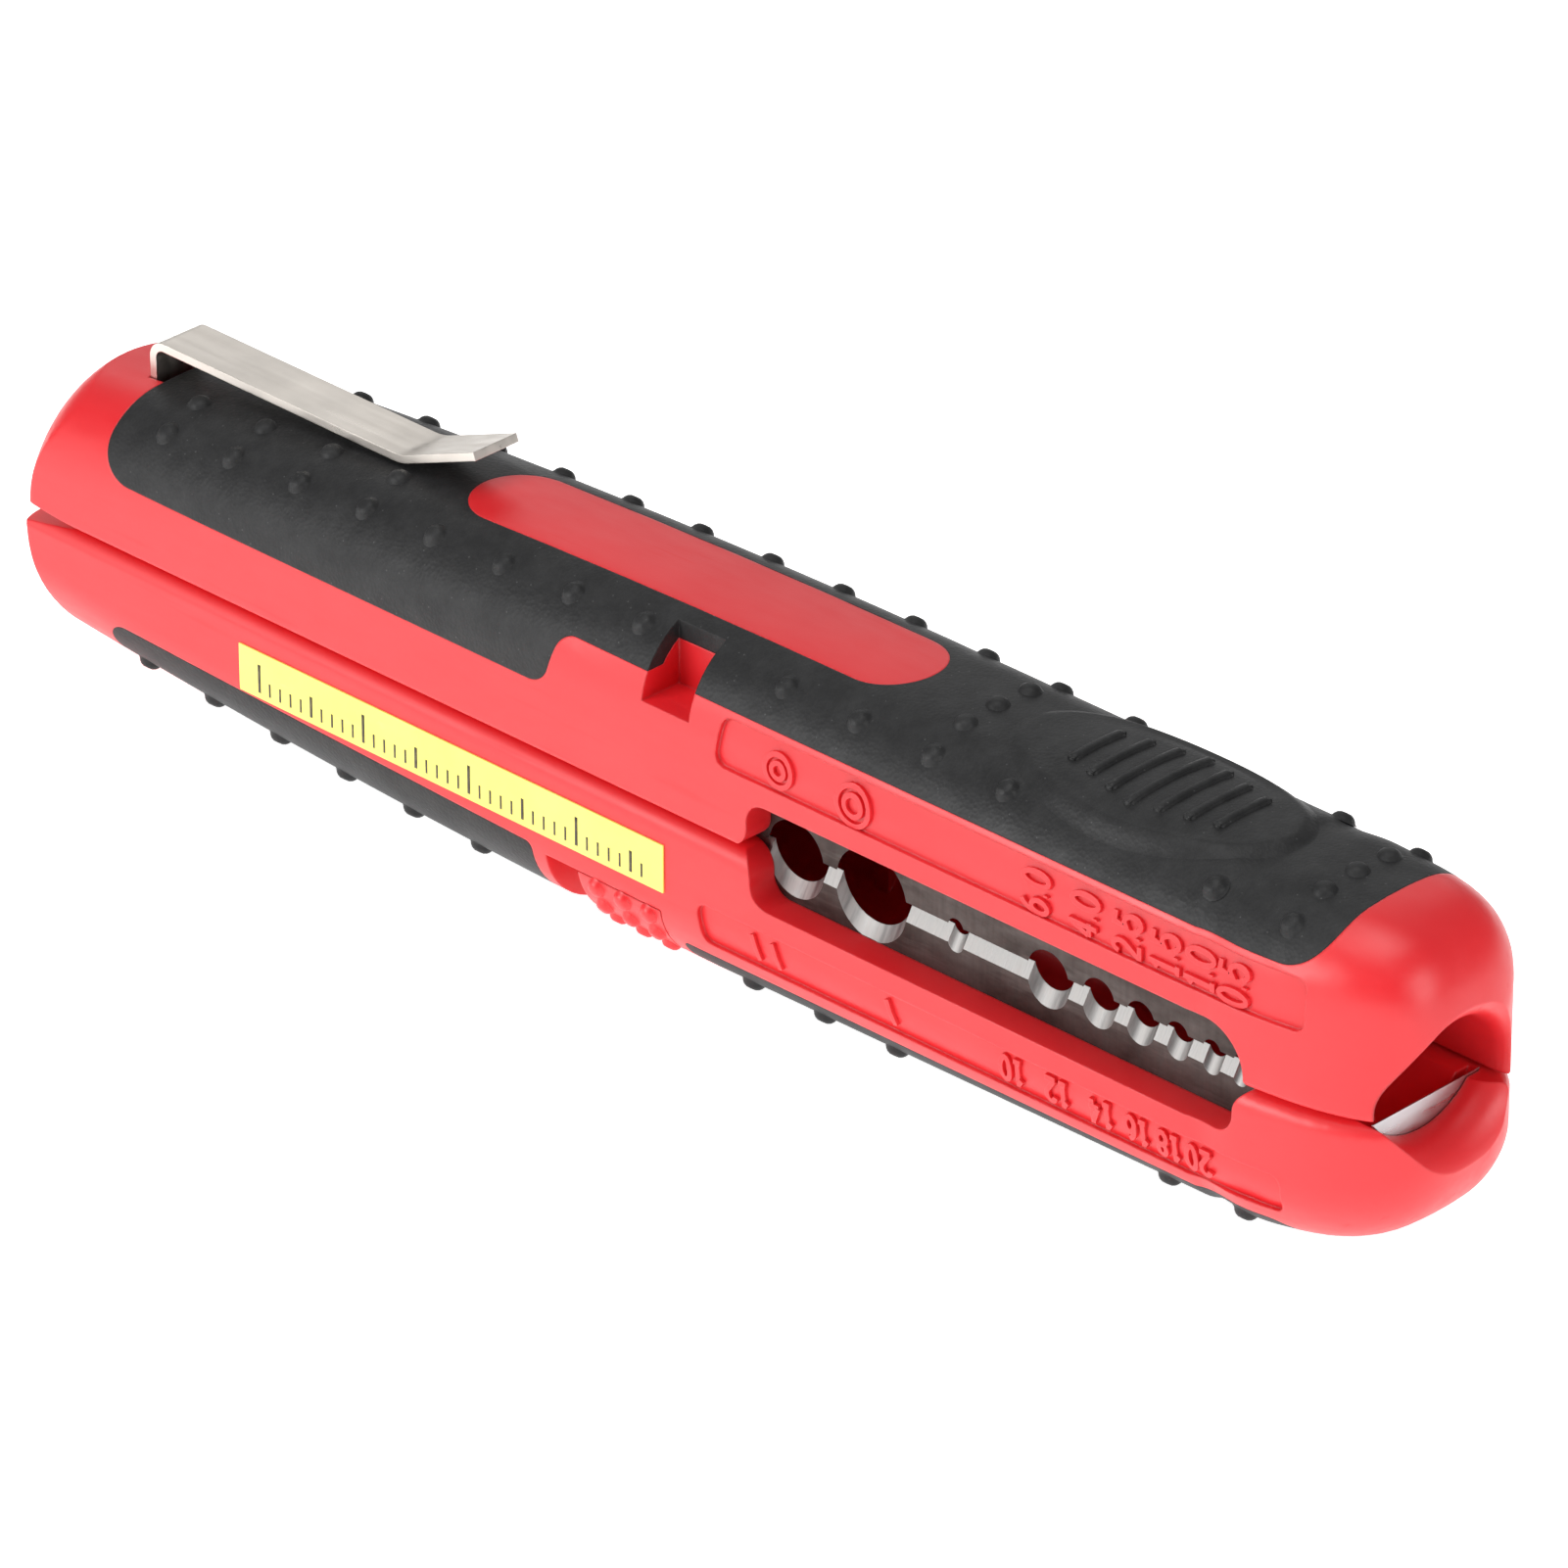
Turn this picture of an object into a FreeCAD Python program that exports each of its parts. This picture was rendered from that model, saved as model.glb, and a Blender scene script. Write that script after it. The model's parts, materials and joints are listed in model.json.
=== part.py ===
"""Hand-held cable stripper: two hinged half shells with notched wire blades and a ring blade.

Working axes: X from the hinge end to the jaws, Y across, Z up from the parting plane.
The finished pieces are moved so that the origin is under the middle of the tool, at its lowest point.
"""
import FreeCAD, Part
import math
import os

V = FreeCAD.Vector

# Overall body
LENGTH = 122.5
HALF_WIDTH = 8.42
SHOULDER_RADIUS = 6.0
CROWN_RADIUS = 30.0
PARTING_GAP = 0.3
REAR_CORNER = 1.2
REAR_ROUND = 4.5
NOSE_TIP_MARGIN = 0.12
NOSE_PLAN_X = LENGTH - 16.5
NOSE_PLAN_POWER = 2.67

# Side profile of each half: crown height at three places, how the nose falls away, bulge of the rear end
UPPER = {
    "high": 12.9, "high_x": 72.0,
    "rear": 10.4, "rear_x": 11.0,
    "front": 12.7, "front_x": LENGTH - 7.5,
    "nose_x": LENGTH - 10.5, "nose_power": 4.0,
    "edge": 0.5,
    "bulge": 0.9,
}
LOWER = {
    "high": 12.5, "high_x": 63.0,
    "rear": 10.6, "rear_x": 12.0,
    "front": 11.8, "front_x": LENGTH - 11.5,
    "nose_x": LENGTH - 16.5, "nose_power": 2.8,
    "edge": 1.5,
    "bulge": 1.3,
}

# Walls and soft grips
SIDE_WALL = 2.32
CROWN_WALL = 3.2
CAVITY_SHOULDER = 2.6
CAVITY_CROWN = 20.0
CAVITY_FRONT_X = LENGTH - 10.0
REAR_WALL = 2.2
GRIP_THICKNESS = 1.2
UPPER_GRIP_REAR_X = 6.8
UPPER_GRIP_STEP_X = 49.5
UPPER_GRIP_FRONT_X = LENGTH - 6.8
UPPER_GRIP_LOW_Z = 5.3
UPPER_GRIP_HIGH_Z = 9.4
UPPER_GRIP_CORNER = 3.0
REAR_GRIP_X = (7.0, 48.2)
REAR_GRIP_Z = (5.6, 6.9)
FRONT_GRIP_X = (61.4, LENGTH - 9.0)
FRONT_GRIP_Z = 9.3
LOWER_GRIP_CORNER = 2.0

# Bumps of the lower grips, which the tool stands on, and the core of a bump or dot
BUMP_PITCH = 6.42
BUMP_Y = (2.98, 5.96)
REAR_BUMPS = ((8.9, 6),)
FRONT_BUMPS = ((66.2, 3), (102.7, 2))
BUMP_HEIGHT = 0.44
STUD_ROOT = 0.3
STUD_ROOT_RADIUS = 0.72
STUD_TIP_RADIUS = 0.32
STUD_SIDES = 8

# Bare panel of the shell that shows through the upper grip
PANEL_X = (35.6, LENGTH - 46.1)
PANEL_HALF = 3.6

# Thumb pad
PAD_X = LENGTH - 26.4
PAD_HALF_LENGTH = 10.5
PAD_HALF_WIDTH = 5.1
PAD_RISE = 0.3
RIDGE_RISE = 0.6
RIDGE_WIDTH = 0.6
RIDGE_PITCH = 2.05
RIDGE_COUNT = 7
RIDGE_HALF_MIDDLE = 3.9
RIDGE_HALF_STEP = 0.5

# Square pocket in the near shoulder of the upper half
POCKET_X = (58.45, 62.75)
POCKET_Z = 7.5
POCKET_BACK_Y = 3.52 - HALF_WIDTH
POCKET_WALL = 1.2

# Side window and the two number panels
WINDOW_X = (LENGTH - 54.6, LENGTH - 11.8)
WINDOW_Z = 3.85
WINDOW_LIP = 1.6
WINDOW_CORNER_REAR = 1.6
WINDOW_CORNER_FRONT = 3.2
LOWER_WINDOW_X = (LENGTH - 54.3, LENGTH - 12.6)
LOWER_WINDOW_Z = 3.7
LOWER_WINDOW_LIP = 1.8
LOWER_WINDOW_CORNER = 1.5
NUMBER_PANEL_DEPTH = 0.35
UPPER_NUMBER_X = (LENGTH - 57.5, LENGTH - 7.4)
UPPER_NUMBER_Z = (5.4, 8.95)
LOWER_NUMBER_X = (LENGTH - 59.2, LENGTH - 8.9)
LOWER_NUMBER_Z = (5.3, 8.2)
NUMBER_CORNER = 0.8

# Wire blades: one pair of notched plates, edge to edge; notches by place along the blade, half width, depth
BLADE_THICKNESS = 0.65
BLADE_X = (LENGTH - 57.3, LENGTH - 11.1)
BLADE_DEPTH = 5.7
BLADE_BEVEL = 1.1
BLADE_CORNER = 0.8
BLADE_SEAT_GAP = 0.02
NOTCHES = [
    (4.90, 2.43, 2.05),
    (11.60, 3.05, 2.55),
    (19.00, 0.65, 0.50),
    (27.00, 1.70, 1.32),
    (31.33, 1.30, 1.05),
    (34.88, 1.12, 0.82),
    (38.02, 0.87, 0.64),
    (40.90, 0.70, 0.52),
    (43.30, 0.55, 0.40),
]
PEG_X = (BLADE_X[0] + 8.8, BLADE_X[0] + 36.3)
PEG_Z = 4.78
PEG_RADIUS = 0.7
PEG_CLEARANCE = 0.06
PEG_LENGTH = 1.6
WASHER_RADIUS = 1.5
WASHER_THICKNESS = 0.4

# Ring blade and the round cable port in the nose
RING_BLADE_X = LENGTH - 3.1
RING_BLADE_THICKNESS = 0.8
RING_BLADE_TOP_Y = (2.37 - HALF_WIDTH, HALF_WIDTH - 4.52)
RING_BLADE_FOOT_Y = (3.72 - HALF_WIDTH, HALF_WIDTH - 5.72)
RING_BLADE_SHOULDER_Z = 1.6
RING_BLADE_DEPTH = 6.3
RING_BLADE_BEVEL = 1.3
RING_BLADE_LAND = 0.1
RING_BLADE_CLEARANCE = 0.05
PORT_RADIUS = HALF_WIDTH - 3.32
PORT_Y = -1.0
PORT_Z = 0.8
PORT_FLARE = 2.2
TROUGH_RADIUS = HALF_WIDTH - 2.42
TROUGH_Y = -1.7
TROUGH_DEPTH = 2.0
TROUGH_FLARE = 3.0
RING_SCREW_Y = -1.0
RING_SCREW_Z = 4.3
RING_SCREW_RADIUS = 0.9
RING_SCREW_HEAD_RADIUS = 1.55
RING_SCREW_HEAD = 1.1
RING_SCREW_SEAT_X = RING_BLADE_X - 2.8
RING_SCREW_TIP_X = RING_BLADE_X + 1.2
SCREW_CLEARANCE = 0.08
HEAD_CLEARANCE = 0.15

# Hinge at the rear end
PIVOT_X = 5.2
OPEN_ANGLE = 12.0
PIN_RADIUS = 1.0
PIN_CLEARANCE = 0.04
PIN_SEAT = 0.02
PIN_Y = (SIDE_WALL - HALF_WIDTH + 0.2, HALF_WIDTH - 0.82)
LUG_RADIUS = 2.6
UPPER_LUG_Y = (HALF_WIDTH - 4.17, HALF_WIDTH - 2.42)
LOWER_LUG_Y = (HALF_WIDTH - 6.07, HALF_WIDTH - 4.27)
RELIEF_MARGIN = 0.7

# Opening spring, a hairpin of flat strip round the hinge pin
SPRING_THICKNESS = 0.5
SPRING_HALF_WIDTH = LOWER_LUG_Y[0] - 0.25
SPRING_RADIUS = 1.5
SPRING_HALF_ANGLE = 24.8
SPRING_REACH = 11.8

# Catch arm of the upper half and lock slider of the lower half
CATCH_X = 46.0
CATCH_THICKNESS = 1.5
CATCH_HALF_WIDTH = 1.6
CATCH_FOOT = 3.0
CATCH_FOOT_Z = (-4.9, -3.2)
LOCK_TRAVEL = 3.0
LOCK_X = (52.45, 60.1)
LOCK_EDGE_Z = 7.3
LOCK_DEPTH = 1.8
LOCK_CLEARANCE = 0.1
LOCK_STEM_X = (53.7, 58.6)
LOCK_STEM_HALF = 2.4
LOCK_PLATE_HALF = 3.3
LOCK_PLATE_THICKNESS = 1.0
LOCK_PLATE_GAP = 0.35
HOOK_POST = 2.0
HOOK_NOSE = 2.5
HOOK_TOP_Z = -1.0
HOOK_NOSE_Z = -3.1
HOOK_GAP = 0.8
LOCK_SCREW_X = 57.2
LOCK_SCREW_RADIUS = 0.8
LOCK_SCREW_HEAD_RADIUS = 1.4
LOCK_SCREW_HEAD = 0.9
DOT_COLUMNS = 3
DOT_PITCH = 2.4
DOT_FIRST_X = 54.0
DOT_ROWS = ((0.0, 0.15), (0.25, 0.2), (0.5, 0.3), (0.72, 0.4), (0.873, 0.4), (0.968, 0.4))

# Belt clip, a bent spring strip
CLIP_THICKNESS = 0.6
CLIP_HALF_WIDTH = 2.0
CLIP_LEG_X = 5.7
CLIP_TOP_Z = 12.45
CLIP_PINCH_X = 29.7
CLIP_PINCH_Z = 12.25
CLIP_TIP_X = 36.7
CLIP_TIP_Z = 14.95
CLIP_BEND = 1.0
CLIP_FLARE_BEND = 4.0
CLIP_FOOT_X = 10.4
CLIP_FOOT_GAP = 0.1
CLIP_SLOT_CLEARANCE = 0.1
CLIP_SCREW_X = 8.7
CLIP_SCREW_RADIUS = 0.8
CLIP_SCREW_HEAD_RADIUS = 1.4
CLIP_SCREW_HEAD = 0.8
CLIP_SCREW_TIP = 2.0

# Label strip on the near side
LABEL_X = (20.6, LENGTH - 62.0)
LABEL_Z = (2.3, 5.8)
LABEL_THICKNESS = 0.12

# Stiffening ribs on the far inside wall
RIB_X = (LENGTH - 56.0, LENGTH - 32.5)
RIB_THICKNESS = 1.2
RIB_DEPTH = 1.1

# Reach of the cutting solids past the body, and their height
BEYOND = 6.0
TALL = 22.0


def crown_bend(half):
    """Radius of the crown's side profile behind its highest place."""
    run = half["high_x"] - half["rear_x"]
    return run ** 2 / (2 * (half["high"] - half["rear"]))


def crown_slope(half):
    """Fall of the crown per millimetre in front of its highest place."""
    return (half["high"] - half["front"]) / (half["front_x"] - half["high_x"])


def crown_height(half, x):
    """Height of the crown above the parting plane, before the nose falls away."""
    if x > half["high_x"]:
        return half["high"] - (x - half["high_x"]) * crown_slope(half)
    bend = crown_bend(half)
    return half["high"] - bend + math.sqrt(bend ** 2 - (half["high_x"] - x) ** 2)


def nose_taper(x, start, power):
    """Superellipse that closes the nose: 1 behind start and 0 just past the tip."""
    if x <= start:
        return 1.0
    run = (x - start) / (LENGTH + NOSE_TIP_MARGIN - start)
    return (1.0 - run ** power) ** (1.0 / power)


def plan_ratio(x):
    """Share of the full width that the nose keeps at x."""
    return nose_taper(x, NOSE_PLAN_X, NOSE_PLAN_POWER)


def top_height(half, x):
    """Crown height with the nose's fall."""
    return crown_height(half, x) * nose_taper(x, half["nose_x"], half["nose_power"])


def arch_points(width, top, shoulder, crown):
    """Shoulder spring height, and the point and tilt where shoulder and crown arcs meet."""
    tilt = math.asin((width - shoulder) / (crown - shoulder))
    meet = V(0, crown * math.sin(tilt), top - crown + crown * math.cos(tilt))
    spring = top - crown + (crown - shoulder) * math.cos(tilt)
    return spring, meet, tilt


def arch_wire(x, width, top, shoulder, crown, base, edge):
    """Closed cross-section of one half: flat base, rounded lower edges, sides, shoulders, crown."""
    spring, meet, tilt = arch_points(width, top, shoulder, crown)
    lean = (math.pi / 2 + tilt) / 2
    side = width - shoulder
    knee = V(0, side + shoulder * math.sin(lean), spring + shoulder * math.cos(lean))
    soft = edge * (1.0 - math.sqrt(0.5))
    right = [
        V(0, width - edge, base),
        V(0, width - soft, base + soft),
        V(0, width, base + edge),
        V(0, width, spring),
        knee,
        meet,
    ]
    right = [p + V(x, 0, 0) for p in right]
    left = [V(p.x, -p.y, p.z) for p in right]
    edges = [
        Part.LineSegment(left[0], right[0]).toShape(),
        Part.Arc(right[0], right[1], right[2]).toShape(),
        Part.LineSegment(right[2], right[3]).toShape(),
        Part.Arc(right[3], right[4], right[5]).toShape(),
        Part.Arc(right[5], V(x, 0, top), left[5]).toShape(),
        Part.Arc(left[5], left[4], left[3]).toShape(),
        Part.LineSegment(left[3], left[2]).toShape(),
        Part.Arc(left[2], left[1], left[0]).toShape(),
    ]
    return Part.Wire(edges)


def arched_bar(half, section, end):
    """Bar with an arched cross-section: bent behind its highest place, straight in front of it."""
    width, drop, shoulder, crown = section
    start = half["high_x"]
    arch = Part.Face(arch_wire(start, width, half["high"] - drop, shoulder, crown, -BEYOND, 0.01))
    bend = crown_bend(half)
    turn = math.degrees(math.asin((start + BEYOND) / bend))
    rear = arch.revolve(V(start, 0, half["high"] - bend), V(0, 1, 0), -turn)
    front = arch.extrude(V(end - start, 0, (start - end) * crown_slope(half)))
    return rear.fuse(front)


def base_block(width, base, edge, end):
    """Everything above the parting plane within a width, with its lower edges rounded along X."""
    block = box((-BEYOND, end), (-width, width), (base, TALL))
    lower = [e for e in block.Edges
             if abs(e.CenterOfMass.z - base) < 0.001 and abs(abs(e.CenterOfMass.y) - width) < 0.001]
    return block.makeFillet(edge, lower)


def nose_block(half, inset, base, edge):
    """Nose in front of the bar, lofted through shrinking arches: smooth outside, straight in between."""
    wires = []
    for share in (0.0, 0.2, 0.38, 0.54, 0.68, 0.79, 0.88, 0.945, 0.98, 1.0):
        x = NOSE_PLAN_X + (LENGTH - NOSE_PLAN_X) * share
        ratio = plan_ratio(x)
        wires.append(arch_wire(
            x,
            HALF_WIDTH * ratio - inset,
            top_height(half, x) - inset,
            SHOULDER_RADIUS * ratio - inset,
            CROWN_RADIUS * ratio - inset,
            base,
            edge * ratio,
        ))
    return Part.makeLoft(wires, True, inset != 0)


def rear_envelope(half):
    """Room inside the bulging rear end: round corners in the plan and a rim that turns into the shoulders."""
    block = box((-half["bulge"], NOSE_PLAN_X), (-HALF_WIDTH, HALF_WIDTH), (-TALL, TALL))
    corners = [e for e in block.Edges if e.BoundBox.XMax < 0.01 and e.BoundBox.ZLength > TALL]
    block = block.makeFillet(REAR_CORNER, corners)
    full_x = REAR_ROUND - half["bulge"]
    spring, _, _ = arch_points(HALF_WIDTH, crown_height(half, full_x), SHOULDER_RADIUS, CROWN_RADIUS)
    reach = SHOULDER_RADIUS + math.hypot(HALF_WIDTH - SHOULDER_RADIUS, spring)
    drum = rod(reach, V(-half["bulge"], 0, 0), V(2 * REAR_ROUND, 0, 0))
    drum = drum.makeFillet(REAR_ROUND, [e for e in drum.Edges if e.BoundBox.XMax < 0.01])
    return block.common(drum.fuse(box((full_x, NOSE_PLAN_X), (-TALL, TALL), (-TALL, TALL))))


def half_body(half):
    """Solid of one half's outside."""
    section = (HALF_WIDTH, 0.0, SHOULDER_RADIUS, CROWN_RADIUS)
    base = PARTING_GAP / 2
    bar = arched_bar(half, section, NOSE_PLAN_X).common(rear_envelope(half))
    bar = bar.common(base_block(HALF_WIDTH, base, half["edge"], NOSE_PLAN_X))
    return bar.fuse(nose_block(half, 0.0, base, half["edge"]))


def half_blank(half, inset, base=-1.0, edge=0.2):
    """Solid of one half's outside, moved inwards by inset and run on past the rear end."""
    section = (HALF_WIDTH - inset, inset, SHOULDER_RADIUS - inset, CROWN_RADIUS - inset)
    bar = arched_bar(half, section, NOSE_PLAN_X)
    bar = bar.common(base_block(HALF_WIDTH - inset, base, edge, NOSE_PLAN_X))
    return bar.fuse(nose_block(half, inset, base, edge))


def half_cavity(half):
    """Hollow of one half, from the rear wall to the solid nose."""
    section = (HALF_WIDTH - SIDE_WALL, CROWN_WALL, CAVITY_SHOULDER, CAVITY_CROWN)
    bar = arched_bar(half, section, CAVITY_FRONT_X)
    return bar.common(box((REAR_WALL, CAVITY_FRONT_X), (-HALF_WIDTH, HALF_WIDTH), (-1.0, TALL)))


def box(x_range, y_range, z_range):
    """Box between two limits on each axis."""
    size = [pair[1] - pair[0] for pair in (x_range, y_range, z_range)]
    return Part.makeBox(size[0], size[1], size[2], V(x_range[0], y_range[0], z_range[0]))


def rod(radius, start, end):
    """Cylinder from one point to another."""
    axis = end - start
    return Part.makeCylinder(radius, axis.Length, start, axis)


def rounded_outline(corners, radii):
    """Closed XZ face through corners, each rounded by its radius (0 leaves it sharp)."""
    count = len(corners)
    points = [V(x, 0, z) for x, z in corners]
    edges = []
    runs = []
    for i in range(count):
        before = (points[i] - points[i - 1]).normalize()
        after = (points[(i + 1) % count] - points[i]).normalize()
        turn = before.getAngle(after)
        back = radii[i] * math.tan(turn / 2)
        start = points[i] - before * back
        end = points[i] + after * back
        runs.append((start, end))
        if radii[i] > 0:
            inward = (after - before).normalize()
            middle = points[i] + inward * (radii[i] / math.cos(turn / 2) - radii[i])
            edges.append((i, Part.Arc(start, middle, end).toShape()))
    arcs = dict(edges)
    ordered = []
    for i in range(count):
        if i in arcs:
            ordered.append(arcs[i])
        start = runs[i][1]
        end = runs[(i + 1) % count][0]
        ordered.append(Part.LineSegment(start, end).toShape())
    return Part.Face(Part.Wire(ordered))


def side_prism(corners, radii, y_range):
    """Prism across the tool over a rounded XZ outline."""
    face = rounded_outline(corners, radii)
    face.translate(V(0, y_range[0], 0))
    return face.extrude(V(0, y_range[1] - y_range[0], 0))


def bent_strip(path, radii, thickness, half_width):
    """Flat strip bent along an XZ path, with a centre-line radius at each inner point."""
    points = [V(x, -half_width, z) for x, z in path]
    heads = [(b - a).normalize() for a, b in zip(points, points[1:])]
    sides = []
    for offset in (thickness / 2, -thickness / 2):
        normals = [V(-h.z, 0, h.x) * offset for h in heads]
        cursor = points[0] + normals[0]
        run = []
        for i, radius in enumerate(radii):
            turn = heads[i].getAngle(heads[i + 1])
            back = radius * math.tan(turn / 2)
            corner = points[i + 1]
            start = corner - heads[i] * back
            end = corner + heads[i + 1] * back
            inward = (heads[i + 1] - heads[i]).normalize()
            middle = corner + inward * (radius / math.cos(turn / 2) - radius)
            lift = (normals[i] + normals[i + 1]).normalize() * abs(offset)
            run.append(Part.LineSegment(cursor, start + normals[i]).toShape())
            run.append(Part.Arc(start + normals[i], middle + lift, end + normals[i + 1]).toShape())
            cursor = end + normals[i + 1]
        tip = points[-1] + normals[-1]
        run.append(Part.LineSegment(cursor, tip).toShape())
        sides.append((run, points[0] + normals[0], tip))
    caps = [
        Part.LineSegment(sides[0][2], sides[1][2]).toShape(),
        Part.LineSegment(sides[1][1], sides[0][1]).toShape(),
    ]
    wire = Part.Wire(Part.__sortEdges__(sides[0][0] + [caps[0]] + sides[1][0] + [caps[1]]))
    return Part.Face(wire).extrude(V(0, 2 * half_width, 0))


def mirrored(shape):
    """Shape of the lower half from one drawn above the parting plane."""
    return shape.mirror(V(0, 0, 0), V(0, 0, 1))


def surface_point(half, x, y):
    """Point and outward direction on the outside of a half, over the lateral place y."""
    width = HALF_WIDTH * plan_ratio(x)
    shoulder = SHOULDER_RADIUS * plan_ratio(x)
    crown = CROWN_RADIUS * plan_ratio(x)
    top = top_height(half, x)
    spring, meet, _ = arch_points(width, top, shoulder, crown)
    sign = -1.0 if y < 0 else 1.0
    if abs(y) <= meet.y:
        centre = V(x, 0, top - crown)
        radius = crown
        lean = math.asin(abs(y) / crown)
    else:
        centre = V(x, sign * (width - shoulder), spring)
        radius = shoulder
        lean = math.asin((abs(y) - width + shoulder) / shoulder)
    outward = V(0, sign * math.sin(lean), math.cos(lean))
    return centre + outward * radius, outward


def grip_region_upper():
    """Side view of the area that the upper grip covers."""
    reach = HALF_WIDTH + BEYOND
    region = side_prism(
        [
            (UPPER_GRIP_REAR_X, TALL),
            (UPPER_GRIP_REAR_X, UPPER_GRIP_LOW_Z),
            (UPPER_GRIP_STEP_X, UPPER_GRIP_LOW_Z),
            (UPPER_GRIP_STEP_X + 1.2, UPPER_GRIP_HIGH_Z),
            (UPPER_GRIP_FRONT_X, UPPER_GRIP_HIGH_Z),
            (UPPER_GRIP_FRONT_X, TALL),
        ],
        [0, UPPER_GRIP_CORNER, 1.9, 1.6, UPPER_GRIP_CORNER, 0],
        (-reach, reach),
    )
    slot = box((PANEL_X[0] + PANEL_HALF, PANEL_X[1] - PANEL_HALF), (-PANEL_HALF, PANEL_HALF), (0, TALL))
    for x in (PANEL_X[0] + PANEL_HALF, PANEL_X[1] - PANEL_HALF):
        slot = slot.fuse(rod(PANEL_HALF, V(x, 0, 0), V(x, 0, TALL)))
    return region.cut(slot)


def layer(region, outer, inner):
    """Part of a region between two offsets of a half's outside."""
    return region.common(outer).cut(inner)


def carved(shape, tools):
    """Shape with each tool taken away in turn."""
    for tool in tools:
        shape = shape.cut(tool)
    return shape


def trumpet(radius, flare, y, z, start):
    """Round cutter through the nose along X that widens over a quarter circle from start to its mouth."""
    back = CAVITY_FRONT_X - 1.0
    mouth = start + flare
    edges = [
        Part.LineSegment(V(back, 0, 0), V(back, 0, radius)).toShape(),
        Part.LineSegment(V(back, 0, radius), V(start, 0, radius)).toShape(),
        Part.Arc(
            V(start, 0, radius),
            V(start + flare * math.sqrt(0.5), 0, radius + flare * (1.0 - math.sqrt(0.5))),
            V(mouth, 0, radius + flare),
        ).toShape(),
        Part.LineSegment(V(mouth, 0, radius + flare), V(LENGTH + BEYOND, 0, radius + flare)).toShape(),
        Part.LineSegment(V(LENGTH + BEYOND, 0, radius + flare), V(LENGTH + BEYOND, 0, 0)).toShape(),
        Part.LineSegment(V(LENGTH + BEYOND, 0, 0), V(back, 0, 0)).toShape(),
    ]
    cutter = Part.Face(Part.Wire(edges)).revolve(V(0, 0, 0), V(1, 0, 0), 360)
    cutter.translate(V(0, y, z))
    return cutter


def window_prism(x_range, height, lip, corner_rear, corner_front):
    """Cutter for one half of the side window, with lips that curve out to the parting plane."""
    low = -1.0
    base = PARTING_GAP / 2
    points = [V(x_range[0] - lip, 0, low), V(x_range[0] - lip, 0, base)]
    slack = math.sqrt(0.5)
    edges = [Part.LineSegment(points[0], points[1]).toShape()]
    centre = V(x_range[0] - lip, 0, base + lip)
    edges.append(Part.Arc(points[1], centre + V(lip * slack, 0, -lip * slack),
                          V(x_range[0], 0, base + lip)).toShape())
    edges.append(Part.LineSegment(V(x_range[0], 0, base + lip),
                                  V(x_range[0], 0, height - corner_rear)).toShape())
    centre = V(x_range[0] + corner_rear, 0, height - corner_rear)
    edges.append(Part.Arc(V(x_range[0], 0, height - corner_rear),
                          centre + V(-corner_rear * slack, 0, corner_rear * slack),
                          V(x_range[0] + corner_rear, 0, height)).toShape())
    edges.append(Part.LineSegment(V(x_range[0] + corner_rear, 0, height),
                                  V(x_range[1] - corner_front, 0, height)).toShape())
    centre = V(x_range[1] - corner_front, 0, height - corner_front)
    top = height - corner_front
    foot = max(top, base + lip)
    edges.append(Part.Arc(V(x_range[1] - corner_front, 0, height),
                          centre + V(corner_front * slack, 0, corner_front * slack),
                          V(x_range[1], 0, top)).toShape())
    if foot - (base + lip) > 0.01:
        edges.append(Part.LineSegment(V(x_range[1], 0, top), V(x_range[1], 0, base + lip)).toShape())
        turn = lip
    else:
        turn = top - base
    centre = V(x_range[1] + turn, 0, base + turn)
    edges.append(Part.Arc(V(x_range[1], 0, base + turn),
                          centre + V(-turn * slack, 0, -turn * slack),
                          V(x_range[1] + turn, 0, base)).toShape())
    edges.append(Part.LineSegment(V(x_range[1] + turn, 0, base), V(x_range[1] + turn, 0, low)).toShape())
    edges.append(Part.LineSegment(V(x_range[1] + turn, 0, low), points[0]).toShape())
    face = Part.Face(Part.Wire(edges))
    face.translate(V(0, -HALF_WIDTH - BEYOND, 0))
    return face.extrude(V(0, BEYOND + SIDE_WALL + 0.4, 0))


def relief_wedge():
    """Cutter that frees each half's edge behind the hinge, so that the jaws can open."""
    rise = math.tan(math.radians(OPEN_ANGLE / 2 + RELIEF_MARGIN))
    base = PARTING_GAP / 2
    back = -BEYOND
    corners = [
        (PIVOT_X, -1.0),
        (back, -1.0),
        (back, base + (PIVOT_X - back) * rise),
        (PIVOT_X, base),
    ]
    reach = HALF_WIDTH + BEYOND
    return side_prism(corners, [0, 0, 0, 0], (-reach, reach))


def hinge_lugs(cavity, y_limits, bore):
    """Pair of lugs round the hinge axis, carried by webs from the inside of a half."""
    lugs = []
    for sign in (-1, 1):
        y_pair = sorted((sign * y_limits[0], sign * y_limits[1]))
        web = box((PIVOT_X - LUG_RADIUS, PIVOT_X + LUG_RADIUS), y_pair, (0, TALL))
        eye = rod(LUG_RADIUS, V(PIVOT_X, y_pair[0], 0), V(PIVOT_X, y_pair[1], 0))
        lugs.append(web.common(cavity).fuse(eye))
    reach = HALF_WIDTH + BEYOND
    hole = rod(bore, V(PIVOT_X, -HALF_WIDTH + SIDE_WALL, 0), V(PIVOT_X, reach, 0))
    return lugs, hole


def blade_face_y():
    """Far face of the wire blades, which carries the cutting edges."""
    return -HALF_WIDTH + SIDE_WALL + BLADE_SEAT_GAP + BLADE_THICKNESS


def pegs():
    """Moulded pegs on the near inside wall that hold a wire blade."""
    wall = -HALF_WIDTH + SIDE_WALL
    return [rod(PEG_RADIUS, V(x, wall - 0.5, PEG_Z), V(x, wall + PEG_LENGTH, PEG_Z)) for x in PEG_X]


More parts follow.
